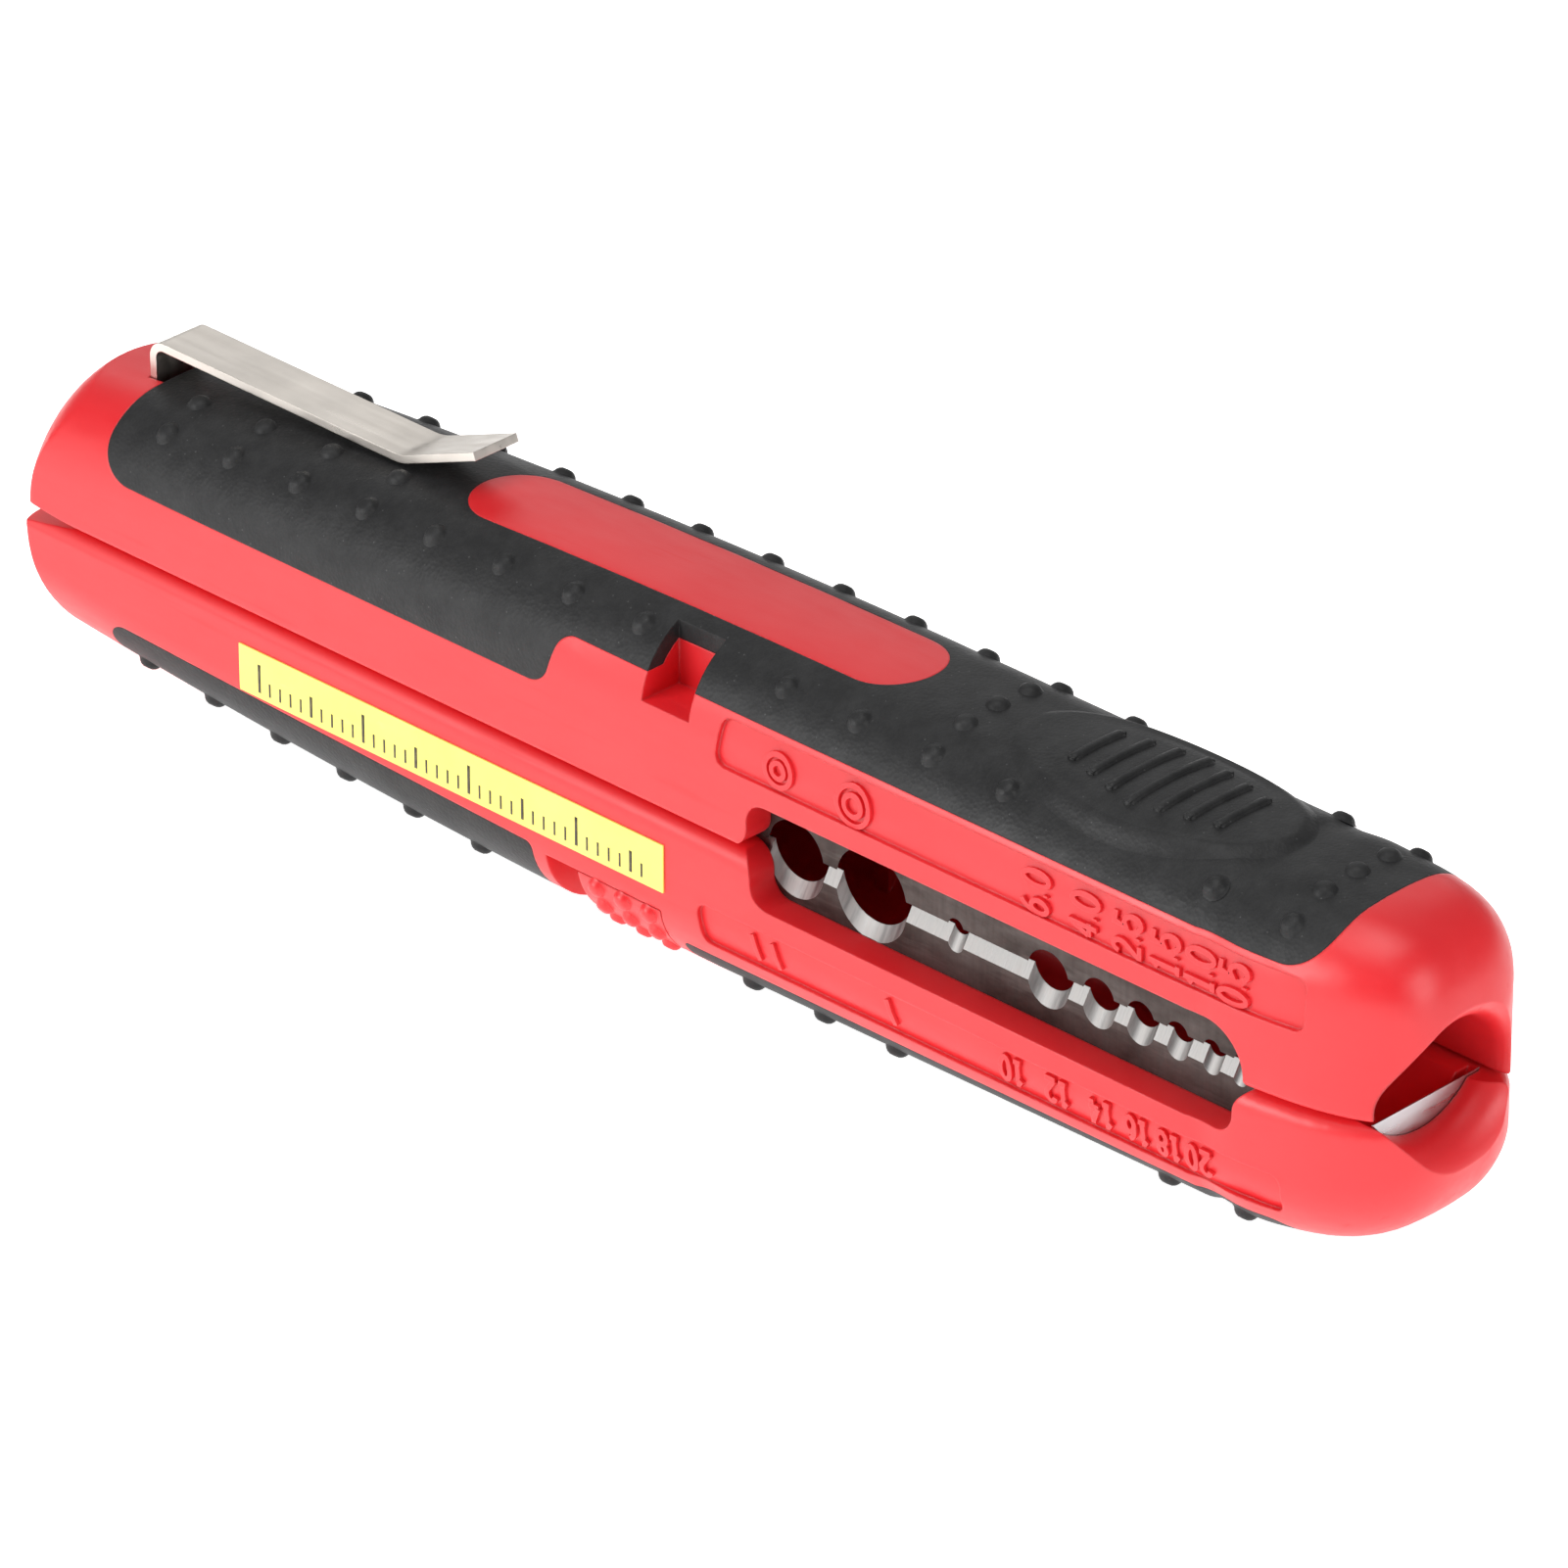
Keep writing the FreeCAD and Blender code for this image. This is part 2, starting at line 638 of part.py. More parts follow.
def far_ribs(cavity, bottom):
    """Upright stiffening ribs on the far inside wall."""
    wall = HALF_WIDTH - SIDE_WALL
    ribs = []
    for x in RIB_X:
        rib = box((x, x + RIB_THICKNESS), (wall - RIB_DEPTH, wall + 0.5), (bottom, TALL))
        ribs.append(rib.common(cavity))
    return ribs


def number_panel(body, inner, x_range, z_range):
    """Shallow recessed field for the size numbers on the near side."""
    region = side_prism(
        [
            (x_range[0], z_range[0]),
            (x_range[1], z_range[0]),
            (x_range[1], z_range[1]),
            (x_range[0] + 0.6, z_range[1]),
        ],
        [NUMBER_CORNER] * 4,
        (-HALF_WIDTH - BEYOND, -HALF_WIDTH / 2),
    )
    return region.common(body).cut(inner)


def make_upper():
    """Upper half shell and its soft grip."""
    half = UPPER
    body = half_body(half)
    inner = half_blank(half, GRIP_THICKNESS)
    region = grip_region_upper()
    pocket = box(POCKET_X, (-HALF_WIDTH - BEYOND, POCKET_BACK_Y), (POCKET_Z, TALL))
    skin = layer(region, body, inner)
    cavity = half_cavity(half)
    shell = carved(body, [skin, cavity, relief_wedge()])

    wall_box = box(
        (POCKET_X[0] - POCKET_WALL, POCKET_X[1] + POCKET_WALL),
        (-HALF_WIDTH, POCKET_BACK_Y + POCKET_WALL),
        (POCKET_Z - POCKET_WALL, TALL),
    )
    lugs, hole = hinge_lugs(cavity, UPPER_LUG_Y, PIN_RADIUS + PIN_CLEARANCE)
    arm = box((CATCH_X, CATCH_X + CATCH_THICKNESS), (-CATCH_HALF_WIDTH, CATCH_HALF_WIDTH),
              (CATCH_FOOT_Z[0], TALL))
    arm = arm.common(half_cavity_with_depth(half))
    foot = box((CATCH_X, CATCH_X + CATCH_THICKNESS + CATCH_FOOT), (-CATCH_HALF_WIDTH, CATCH_HALF_WIDTH),
               CATCH_FOOT_Z)
    added = lugs + pegs() + far_ribs(cavity, 1.0) + [wall_box.common(cavity), arm, foot]
    shell = shell.fuse(added)

    port = trumpet(PORT_RADIUS, PORT_FLARE, PORT_Y, PORT_Z, LENGTH - PORT_FLARE)
    window = window_prism(WINDOW_X, WINDOW_Z, WINDOW_LIP, WINDOW_CORNER_REAR, WINDOW_CORNER_FRONT)
    numbers = number_panel(body, half_blank(half, NUMBER_PANEL_DEPTH), UPPER_NUMBER_X, UPPER_NUMBER_Z)
    slot = box(
        (CLIP_LEG_X - CLIP_THICKNESS / 2 - CLIP_SLOT_CLEARANCE,
         CLIP_LEG_X + CLIP_THICKNESS / 2 + CLIP_SLOT_CLEARANCE + CLIP_BEND),
        (-CLIP_HALF_WIDTH - CLIP_SLOT_CLEARANCE, CLIP_HALF_WIDTH + CLIP_SLOT_CLEARANCE),
        (LUG_RADIUS, TALL),
    )
    screw_hole = rod(CLIP_SCREW_RADIUS, V(CLIP_SCREW_X, 0, 0),
                     V(CLIP_SCREW_X, 0, clip_roof() + CLIP_SCREW_TIP))
    shell = carved(shell, [hole, port, window, numbers, pocket, slot, screw_hole])

    grip = skin.cut(pocket)
    grip = grip.fuse(thumb_pad(half))
    return shell, grip


def half_cavity_with_depth(half):
    """Cavity of a half together with the space under the parting plane."""
    reach = HALF_WIDTH - SIDE_WALL
    below = box((0, CAVITY_FRONT_X), (-reach, reach), (-TALL / 2, 0))
    return half_cavity(half).fuse(below)


def thumb_pad(half):
    """Raised oval with ridges across it, on top of the upper grip."""
    oval = Part.Ellipse(V(PAD_X, 0, 0), PAD_HALF_LENGTH, PAD_HALF_WIDTH).toShape()
    prism = Part.Face(Part.Wire([oval])).extrude(V(0, 0, TALL))
    floor = half_blank(half, GRIP_THICKNESS / 2)
    pad = prism.common(half_blank(half, -PAD_RISE)).cut(floor)
    bars = []
    middle = (RIDGE_COUNT - 1) / 2
    for k in range(RIDGE_COUNT):
        x = PAD_X + 0.55 + (k - middle) * RIDGE_PITCH
        reach = RIDGE_HALF_MIDDLE - RIDGE_HALF_STEP * abs(k - middle)
        bars.append(box((x - RIDGE_WIDTH / 2, x + RIDGE_WIDTH / 2), (-reach, reach), (0, TALL)))
    top = half_blank(half, -RIDGE_RISE)
    ridges = [bar.common(top).cut(floor) for bar in bars]
    return [pad] + ridges


def lock_recess():
    """Region of the slider's slot under the lower half."""
    reach = HALF_WIDTH + BEYOND
    return box((LOCK_X[0] - LOCK_TRAVEL, LOCK_X[1]), (-reach, reach), (LOCK_EDGE_Z, TALL))


def make_lower():
    """Lower half shell, its two soft grips, the slider button and the label, drawn above the plane."""
    half = LOWER
    body = half_body(half)
    inner = half_blank(half, GRIP_THICKNESS)
    reach = HALF_WIDTH + BEYOND
    rear_region = side_prism(
        [(REAR_GRIP_X[0], TALL), (REAR_GRIP_X[0], REAR_GRIP_Z[0]),
         (REAR_GRIP_X[1], REAR_GRIP_Z[1]), (REAR_GRIP_X[1], TALL)],
        [0, LOWER_GRIP_CORNER, 0.6, 0],
        (-reach, reach),
    )
    front_region = side_prism(
        [(FRONT_GRIP_X[0], TALL), (FRONT_GRIP_X[0], FRONT_GRIP_Z),
         (FRONT_GRIP_X[1], FRONT_GRIP_Z), (FRONT_GRIP_X[1], TALL)],
        [0, 0.6, LOWER_GRIP_CORNER, 0],
        (-reach, reach),
    )
    rear_skin = layer(rear_region, body, inner)
    front_skin = layer(front_region, body, inner)
    deep = half_blank(half, LOCK_DEPTH)
    recess = layer(lock_recess(), body, deep)
    cavity = half_cavity(half)
    shell = carved(body, [rear_skin, front_skin, recess, cavity, relief_wedge()])

    lugs, hole = hinge_lugs(cavity, LOWER_LUG_Y, PIN_RADIUS + PIN_SEAT)
    shell = shell.fuse(lugs + pegs() + far_ribs(cavity, 1.0))

    window = window_prism(LOWER_WINDOW_X, LOWER_WINDOW_Z, LOWER_WINDOW_LIP,
                          LOWER_WINDOW_CORNER, LOWER_WINDOW_CORNER)
    numbers = number_panel(body, half_blank(half, NUMBER_PANEL_DEPTH), LOWER_NUMBER_X, LOWER_NUMBER_Z)
    trough = trumpet(TROUGH_RADIUS, TROUGH_FLARE, TROUGH_Y, TROUGH_DEPTH - TROUGH_RADIUS, RING_BLADE_X)
    ring_slot = ring_blade_plate(RING_BLADE_CLEARANCE)
    bore = rod(RING_SCREW_RADIUS, V(RING_SCREW_SEAT_X - 1.0, RING_SCREW_Y, RING_SCREW_Z),
               V(RING_SCREW_TIP_X, RING_SCREW_Y, RING_SCREW_Z))
    counterbore = rod(RING_SCREW_HEAD_RADIUS + HEAD_CLEARANCE,
                      V(CAVITY_FRONT_X - 1.0, RING_SCREW_Y, RING_SCREW_Z),
                      V(RING_SCREW_SEAT_X, RING_SCREW_Y, RING_SCREW_Z))
    stem_slot = box(
        (LOCK_STEM_X[0] - LOCK_TRAVEL - LOCK_CLEARANCE, LOCK_STEM_X[1] + LOCK_CLEARANCE),
        (-LOCK_STEM_HALF - LOCK_CLEARANCE, LOCK_STEM_HALF + LOCK_CLEARANCE),
        (LOCK_EDGE_Z, TALL),
    )
    shell = carved(shell, [hole, window, numbers, trough, ring_slot, bore, counterbore, stem_slot])

    rear_skin = rear_skin.fuse(bumps(half, REAR_BUMPS))
    front_skin = front_skin.fuse(bumps(half, FRONT_BUMPS))
    button = make_button(half, body)
    label_region = box(LABEL_X, (-reach, 0), LABEL_Z)
    label = layer(label_region, half_blank(half, -LABEL_THICKNESS), body)
    return shell, rear_skin, front_skin, button, label


def button_seat():
    """Underside of the hook plate, drawn above the plane."""
    return crown_height(LOWER, LOCK_SCREW_X) - CROWN_WALL - LOCK_PLATE_GAP


def stud(point, outward, height):
    """Many-sided core of one bump or dot, from its root in the surface to its tip."""
    across = outward.cross(V(1, 0, 0))
    rings = []
    for radius, level in ((STUD_ROOT_RADIUS, -STUD_ROOT), (STUD_TIP_RADIUS, height)):
        corners = []
        for k in range(STUD_SIDES + 1):
            turn = 2 * math.pi * (k % STUD_SIDES) / STUD_SIDES
            arm = V(math.cos(turn), 0, 0) + across * math.sin(turn)
            corners.append(point + outward * level + arm * radius)
        rings.append(Part.makePolygon(corners))
    return Part.makeLoft(rings, True, True)


def bumps(half, runs):
    """Bumps of a lower grip: runs of columns as first place and count, in four rows."""
    studs = []
    for first, count in runs:
        for k in range(count):
            for y in BUMP_Y:
                for side in (-1, 1):
                    point, outward = surface_point(half, first + k * BUMP_PITCH, side * y)
                    studs.append(stud(point, outward, BUMP_HEIGHT))
    return studs


def make_button(half, body):
    """Finger slider under the lower half: a curved saddle with dots, and a stem inwards."""
    reach = HALF_WIDTH + BEYOND
    edge = LOCK_EDGE_Z + LOCK_CLEARANCE
    span = box((LOCK_X[0], LOCK_X[1] - LOCK_CLEARANCE), (-reach, reach), (edge, TALL))
    clear = half_blank(half, LOCK_DEPTH - LOCK_CLEARANCE)
    saddle = span.common(body).cut(clear)
    stem = box(LOCK_STEM_X, (-LOCK_STEM_HALF, LOCK_STEM_HALF),
               (button_seat(), crown_height(half, LOCK_SCREW_X) - LOCK_DEPTH + 0.5))
    dots = []
    for k in range(DOT_COLUMNS):
        for share, height in DOT_ROWS:
            for side in sorted({-share, share}):
                point, outward = surface_point(half, DOT_FIRST_X + k * DOT_PITCH, side * HALF_WIDTH)
                dots.append(stud(point, outward, height))
    button = saddle.fuse([stem] + dots)
    hole = rod(LOCK_SCREW_RADIUS, V(LOCK_SCREW_X, 0, 0),
               V(LOCK_SCREW_X, 0, button_seat() + 2.4))
    return button.cut(hole)


def make_hook():
    """Inner hook plate of the slider, in its real place under the parting plane."""
    seat = -button_seat()
    top = seat + LOCK_PLATE_THICKNESS
    plate = box((LOCK_X[0], LOCK_X[1] - 0.6), (-LOCK_PLATE_HALF, LOCK_PLATE_HALF), (seat, top))
    nose_x = CATCH_X + CATCH_THICKNESS + CATCH_FOOT + HOOK_GAP
    post_x = nose_x + HOOK_NOSE
    profile = [
        (post_x, seat),
        (post_x + HOOK_POST, seat),
        (post_x + HOOK_POST, HOOK_TOP_Z),
        (post_x, HOOK_TOP_Z),
        (nose_x, HOOK_NOSE_Z + 0.8),
        (nose_x, HOOK_NOSE_Z),
        (post_x, HOOK_NOSE_Z),
    ]
    hook = side_prism(profile, [0, 0, 0.5, 0.3, 0.2, 0.2, 0.3], (-CATCH_HALF_WIDTH, CATCH_HALF_WIDTH))
    hole = rod(LOCK_SCREW_RADIUS + SCREW_CLEARANCE, V(LOCK_SCREW_X, 0, seat - 1), V(LOCK_SCREW_X, 0, top + 1))
    return plate.fuse(hook).cut(hole)


def screw(radius, head_radius, head, length, foot, direction):
    """Pan-head screw: foot is the middle of the head's seat, direction runs to the tip."""
    shank = rod(radius, foot, foot + direction * length)
    belt = rod(head_radius, foot - direction * head / 2, foot)
    dome = Part.makeCone(head_radius, head_radius * 0.7, head / 2, foot - direction * head / 2, -direction)
    cap = belt.fuse(dome)
    across = box((-0.2, 0.2), (-head_radius, head_radius), (-head, -head * 0.55))
    along = box((-head_radius, head_radius), (-0.2, 0.2), (-head, -head * 0.55))
    cross = across.fuse(along).common(rod(head_radius * 0.62, V(0, 0, -head), V(0, 0, 0)))
    cross.Placement = FreeCAD.Placement(foot, FreeCAD.Rotation(V(0, 0, 1), direction))
    return shank.fuse(cap).cut(cross)


def ring_blade_plate(clearance):
    """Outline of the ring blade across the nose, drawn above the plane, grown by a clearance."""
    rear = RING_BLADE_X - RING_BLADE_THICKNESS - clearance
    top_a, top_b = RING_BLADE_TOP_Y
    foot_a, foot_b = RING_BLADE_FOOT_Y
    deep = RING_BLADE_DEPTH + clearance
    outline = [
        (top_a - clearance, 0.0),
        (top_b + clearance, 0.0),
        (foot_b + clearance, RING_BLADE_SHOULDER_Z),
        (foot_b + clearance, deep),
        (foot_a - clearance, deep),
        (foot_a - clearance, RING_BLADE_SHOULDER_Z),
    ]
    points = [V(rear, y, z) for y, z in outline]
    face = Part.Face(Part.makePolygon(points + points[:1]))
    return face.extrude(V(RING_BLADE_THICKNESS + 2 * clearance, 0, 0))


def make_ring_blade():
    """Steel blade that scores the jacket of a round cable in the nose, ground on its hidden side."""
    rear = RING_BLADE_X - RING_BLADE_THICKNESS
    land = RING_BLADE_X - RING_BLADE_LAND
    ground = side_prism(
        [(rear - 1.0, -1.0), (land, -1.0), (land, 0.0), (rear, RING_BLADE_BEVEL),
         (rear - 1.0, RING_BLADE_BEVEL)],
        [0, 0, 0, 0, 0],
        (-HALF_WIDTH, HALF_WIDTH),
    )
    plate = ring_blade_plate(0.0).cut(ground)
    hole = rod(RING_SCREW_RADIUS + SCREW_CLEARANCE,
               V(RING_BLADE_X - 2, RING_SCREW_Y, RING_SCREW_Z),
               V(RING_BLADE_X + 1, RING_SCREW_Y, RING_SCREW_Z))
    return plate.cut(hole)


def make_wire_blade(edge_y, side):
    """Notched plate drawn above the plane: its edge is ground on a slant from edge_y to the other face."""
    edge = PARTING_GAP / 2
    deep = BLADE_DEPTH + BLADE_BEVEL + 1.0
    cursor = V(BLADE_X[0], edge_y, edge)
    edges = []
    for place, half_width, depth in NOTCHES:
        x = BLADE_X[0] + place
        start = V(x - half_width, edge_y, edge)
        end = V(x + half_width, edge_y, edge)
        edges.append(Part.LineSegment(cursor, start).toShape())
        edges.append(Part.Arc(start, V(x, edge_y, edge + depth), end).toShape())
        cursor = end
    corners = [cursor, V(BLADE_X[1], edge_y, edge), V(BLADE_X[1], edge_y, deep), V(BLADE_X[0], edge_y, deep)]
    corners.append(V(BLADE_X[0], edge_y, edge))
    for before, after in zip(corners, corners[1:]):
        edges.append(Part.LineSegment(before, after).toShape())
    plate = Part.Face(Part.Wire(edges)).extrude(V(0, side * BLADE_THICKNESS, BLADE_BEVEL))
    keep = side_prism(
        [(BLADE_X[0], 0), (BLADE_X[1], 0), (BLADE_X[1], BLADE_DEPTH), (BLADE_X[0], BLADE_DEPTH)],
        [0, 0, BLADE_CORNER, BLADE_CORNER],
        (-HALF_WIDTH, 0),
    )
    plate = plate.common(keep)
    holes = [rod(PEG_RADIUS + PEG_CLEARANCE, V(x, -HALF_WIDTH, PEG_Z), V(x, 0, PEG_Z)) for x in PEG_X]
    return plate.cut(holes)


def make_washer(x):
    """Push-on washer that holds a wire blade on the peg at x."""
    start = V(x, blade_face_y(), PEG_Z)
    end = start + V(0, WASHER_THICKNESS, 0)
    return rod(WASHER_RADIUS, start, end).cut(rod(PEG_RADIUS, start, end))


def make_spring():
    """Hairpin spring round the hinge pin, its arms against both halves."""
    lean = math.radians(SPRING_HALF_ANGLE)
    knee = PIVOT_X - SPRING_RADIUS / math.sin(lean)
    tip_x = PIVOT_X + SPRING_REACH
    tip_z = (tip_x - knee) * math.tan(lean)
    path = [(tip_x, -tip_z), (knee, 0.0), (tip_x, tip_z)]
    return bent_strip(path, [SPRING_RADIUS], SPRING_THICKNESS, SPRING_HALF_WIDTH)


def clip_roof():
    """Inside height of the upper half's roof over the clip's foot."""
    return crown_height(UPPER, CLIP_LEG_X) - CROWN_WALL


def clip_foot_z():
    """Middle height of the clip's inner foot."""
    return clip_roof() - CLIP_FOOT_GAP - CLIP_THICKNESS / 2


def make_clip():
    """Belt clip: foot inside the roof, leg out through its slot, long arm, flared tip."""
    path = [
        (CLIP_FOOT_X, clip_foot_z()),
        (CLIP_LEG_X, clip_foot_z()),
        (CLIP_LEG_X, CLIP_TOP_Z),
        (CLIP_PINCH_X, CLIP_PINCH_Z),
        (CLIP_TIP_X, CLIP_TIP_Z),
    ]
    clip = bent_strip(path, [CLIP_BEND, CLIP_BEND, CLIP_FLARE_BEND], CLIP_THICKNESS, CLIP_HALF_WIDTH)
    hole = rod(CLIP_SCREW_RADIUS + SCREW_CLEARANCE, V(CLIP_SCREW_X, 0, 0),
               V(CLIP_SCREW_X, 0, clip_roof() + 0.5))
    return clip.cut(hole)


def floor_depth():
    """Depth of the lowest bumps, at the rear of the front grip, under the parting plane."""
    point, outward = surface_point(LOWER, FRONT_BUMPS[0][0], BUMP_Y[0])
    return (point + outward * BUMP_HEIGHT).z + STUD_TIP_RADIUS * outward.y


def save(name, shape):
    """Move a piece to the finished frame and write it."""
    moved = shape.copy()
    moved.translate(V((LOWER["bulge"] - LENGTH) / 2, 0, floor_depth()))
    moved.exportStep(os.path.join("parts", name + ".step"))


os.makedirs("parts", exist_ok=True)

upper_shell, upper_grip = make_upper()
save("upper_shell", upper_shell)
save("upper_grip", upper_grip)

lower_shell, lower_rear, lower_front, lock_button, label_strip = make_lower()
save("lower_shell", mirrored(lower_shell))
save("lower_grip_rear", mirrored(lower_rear))
save("lower_grip_front", mirrored(lower_front))
save("lock_button", mirrored(lock_button))
save("label_strip", mirrored(label_strip))

save("hinge_pin", rod(PIN_RADIUS, V(PIVOT_X, PIN_Y[0], 0), V(PIVOT_X, PIN_Y[1], 0)))
save("opening_spring", make_spring())

save("upper_wire_blade", make_wire_blade(blade_face_y() - BLADE_THICKNESS, 1))
save("lower_wire_blade", mirrored(make_wire_blade(blade_face_y(), -1)))
for place, peg_x in zip(("rear", "front"), PEG_X):
    save("upper_washer_" + place, make_washer(peg_x))
    save("lower_washer_" + place, mirrored(make_washer(peg_x)))

save("ring_blade", mirrored(make_ring_blade()))
save("ring_blade_screw", screw(
    RING_SCREW_RADIUS, RING_SCREW_HEAD_RADIUS, RING_SCREW_HEAD,
    RING_SCREW_TIP_X - RING_SCREW_SEAT_X,
    V(RING_SCREW_SEAT_X, RING_SCREW_Y, -RING_SCREW_Z), V(1, 0, 0)))

save("lock_hook", make_hook())
hook_top = -button_seat() + LOCK_PLATE_THICKNESS
save("lock_screw", screw(
    LOCK_SCREW_RADIUS, LOCK_SCREW_HEAD_RADIUS, LOCK_SCREW_HEAD,
    LOCK_PLATE_THICKNESS + 2.2,
    V(LOCK_SCREW_X, 0, hook_top), V(0, 0, -1)))

save("belt_clip", make_clip())
save("clip_screw", screw(
    CLIP_SCREW_RADIUS, CLIP_SCREW_HEAD_RADIUS, CLIP_SCREW_HEAD,
    CLIP_SCREW_TIP + CLIP_FOOT_GAP + CLIP_THICKNESS - 0.2,
    V(CLIP_SCREW_X, 0, clip_foot_z() - CLIP_THICKNESS / 2), V(0, 0, 1)))
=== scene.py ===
import json
import math

import bmesh
import bpy
from mathutils import Matrix, Vector
from mathutils.bvhtree import BVHTree


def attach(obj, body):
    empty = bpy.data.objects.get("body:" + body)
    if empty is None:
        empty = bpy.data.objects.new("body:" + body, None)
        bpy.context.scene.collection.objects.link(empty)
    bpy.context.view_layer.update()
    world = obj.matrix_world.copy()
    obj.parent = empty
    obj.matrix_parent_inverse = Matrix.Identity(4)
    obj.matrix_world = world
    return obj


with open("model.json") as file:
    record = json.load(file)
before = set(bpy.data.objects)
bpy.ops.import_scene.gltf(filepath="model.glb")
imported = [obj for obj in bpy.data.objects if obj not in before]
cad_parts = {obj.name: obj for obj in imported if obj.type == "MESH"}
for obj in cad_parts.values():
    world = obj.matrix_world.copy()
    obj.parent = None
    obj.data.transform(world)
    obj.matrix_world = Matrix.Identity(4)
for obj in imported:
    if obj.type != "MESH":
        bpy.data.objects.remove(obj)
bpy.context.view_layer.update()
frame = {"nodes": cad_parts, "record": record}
NODES = frame["nodes"]
MM = 0.001

# The tool's own measures, in millimetres from its rear end, its middle plane and the parting plane
ORIGIN_X = 60.6
PARTING_HEIGHT = 12.775
HALF_WIDTH = 8.42
SHOULDER_RADIUS = 6.0
CROWN_RADIUS = 30.0
UPPER_CROWN = {"high": 12.9, "high_x": 72.0, "rear": 10.4, "rear_x": 11.0, "front": 12.7, "front_x": 115.0}
LOWER_CROWN = {"high": 12.5, "high_x": 63.0, "rear": 10.6, "rear_x": 12.0, "front": 11.8, "front_x": 111.0}

# How the nose closes, as start, length and power: seen from above, and each half seen from the side
NOSE_PLAN = (106.0, 16.62, 2.67)
UPPER_NOSE = (112.0, 10.62, 4.0)
LOWER_NOSE = (106.0, 16.62, 2.8)

# Soft bumps: profile as radius and height, pitch, and how far the rows lie from the middle plane
BUMP_PROFILE = (
    (0.0, 0.46), (0.34, 0.44), (0.55, 0.34), (0.70, 0.19), (0.79, 0.03), (0.86, -0.04), (1.0, -0.12),
)
BUMP_SIDES = 20
BUMP_PITCH = 6.42
BUMP_OUTER = 5.96
BUMP_INNER = 2.98
BUMP_MIDDLE = 0.01

# Runs of bumps as first place and count. In the upper rear run the pocket takes away one on the near side,
# the first few have inner bumps too, and one has a full row across
UPPER_REAR_RUN = (11.35, 13)
UPPER_FRONT_RUN = (105.9, 2)
UPPER_AT_POCKET = 8
UPPER_WITH_INNER = 4
UPPER_FULL_ROW = 11
LOWER_RUNS = ((8.9, 6), (66.2, 3), (102.7, 2))

# Slider dots: profile, places along the tool, and rows as share of the half width and height
DOT_PROFILE = ((0.0, 0.42), (0.34, 0.40), (0.50, 0.32), (0.62, 0.19), (0.70, 0.03), (0.80, -0.08))
DOT_SIDES = 16
DOT_X = (54.0, 56.4, 58.8)
DOT_ROWS = ((0.0, 0.15), (0.25, 0.2), (0.5, 0.3), (0.72, 0.4), (0.873, 0.4), (0.968, 0.4))
DOT_HIGHEST = 0.4

# Thumb pad: its oval, the plateau's rise and crown, the cover's lift over the solid pad, and the skirt that
# runs out into the grip and ends a little under it
PAD_X = 96.1
PAD_HALF_LENGTH = 10.5
PAD_HALF_WIDTH = 5.1
PAD_RISE = 0.35
PAD_CROWN = 0.06
PAD_COVER = 0.04
PAD_FOOT = 0.25
PAD_SKIRT_START = 0.15
PAD_SKIRT = 1.3
PAD_SINK = 0.03
PAD_PLATEAU_SHARES = (0.25, 0.5, 0.72)
PAD_RIM_SHARES = (0.88, 0.97)
PAD_SIDES = 72
PAD_SKIRT_STEPS = 8

# Height over the parting plane from which rays look down for the grip
ABOVE_ALL = 30.0

# Ridges of the thumb pad
RIDGE_X = 96.65
RIDGE_PITCH = 2.05
RIDGE_COUNT = 7
RIDGE_HALF_MIDDLE = 3.95
RIDGE_HALF_STEP = 0.5
RIDGE_RADIUS = 0.46
RIDGE_SINK = 0.24
RIDGE_END_TURNS = (0.35, 0.8, 1.2)
RIDGE_SIDES = 12
RIDGE_STEPS = 10

# Raised marks in the two side fields: depth of the field, and rise, width, side slope and root of a stroke,
# with the rise that each further stroke of a digit adds
FIELD_DEPTH = 0.35
MARK_RISE = 0.24
MARK_STROKE = 0.36
MARK_SLOPE = 0.04
MARK_ROOT = -0.06
MARK_STEP = 0.012

# Numbers as text and place along the tool, with their height over the parting plane, digit size and gap
UPPER_NUMBERS = (("6.0", 93.0), ("4.0", 97.2), ("2.5", 100.8), ("1.5", 104.0), ("1.0", 106.9), ("0.5", 109.6))
UPPER_MARK_Z = 6.95
UPPER_DIGIT = (0.96, 2.2)
UPPER_GAP = 0.27
LOWER_NUMBERS = (("10", 91.1), ("12", 95.0), ("14", 98.75), ("16", 101.8), ("18", 104.5), ("20", 107.05))
LOWER_MARK_Z = 6.75
LOWER_DIGIT = (0.86, 1.75)
LOWER_GAP = 0.3

# Plain rings as place and radius, plain bars as place, and the bars' slant
RINGS = ((70.6, 0.55), (70.6, 1.15), (77.2, 0.75), (77.2, 1.4))
BARS = (68.6, 70.4, 80.6)
BAR_SLANT = 0.7

# Label strip: rear end, distance of its lower edge from the parting plane, thickness
LABEL_REAR_X = 20.6
LABEL_LOWER_EDGE = 5.8
LABEL_THICKNESS = 0.12

# Its tick scale: count, margins at the rear and below, and ranks as every how many, length and half width
TICK_COUNT = 37
TICK_REAR_MARGIN = 1.95
TICK_LOWER_MARGIN = 0.45
TICK_RANKS = ((10, 2.1, 0.13), (5, 1.55, 0.13), (1, 1.0, 0.09))
TICK_PARTS = 4
TICK_LIFT = 0.008
TICK_FILM = 0.012

# Shading of the CAD pieces
WELD_DISTANCE = 0.000002
SMOOTH_DEGREES = 24

# View of the photograph
VIEW_AZIMUTH = 44.363
VIEW_ELEVATION = 28.728
VIEW_DISTANCE = 0.71495
VIEW_LENS = 253.8
VIEW_SENSOR = 36.0
VIEW_NEAREST = 0.01
VIEW_TARGET = Vector((63.089 - ORIGIN_X, 0.0, PARTING_HEIGHT - 0.096)) * MM

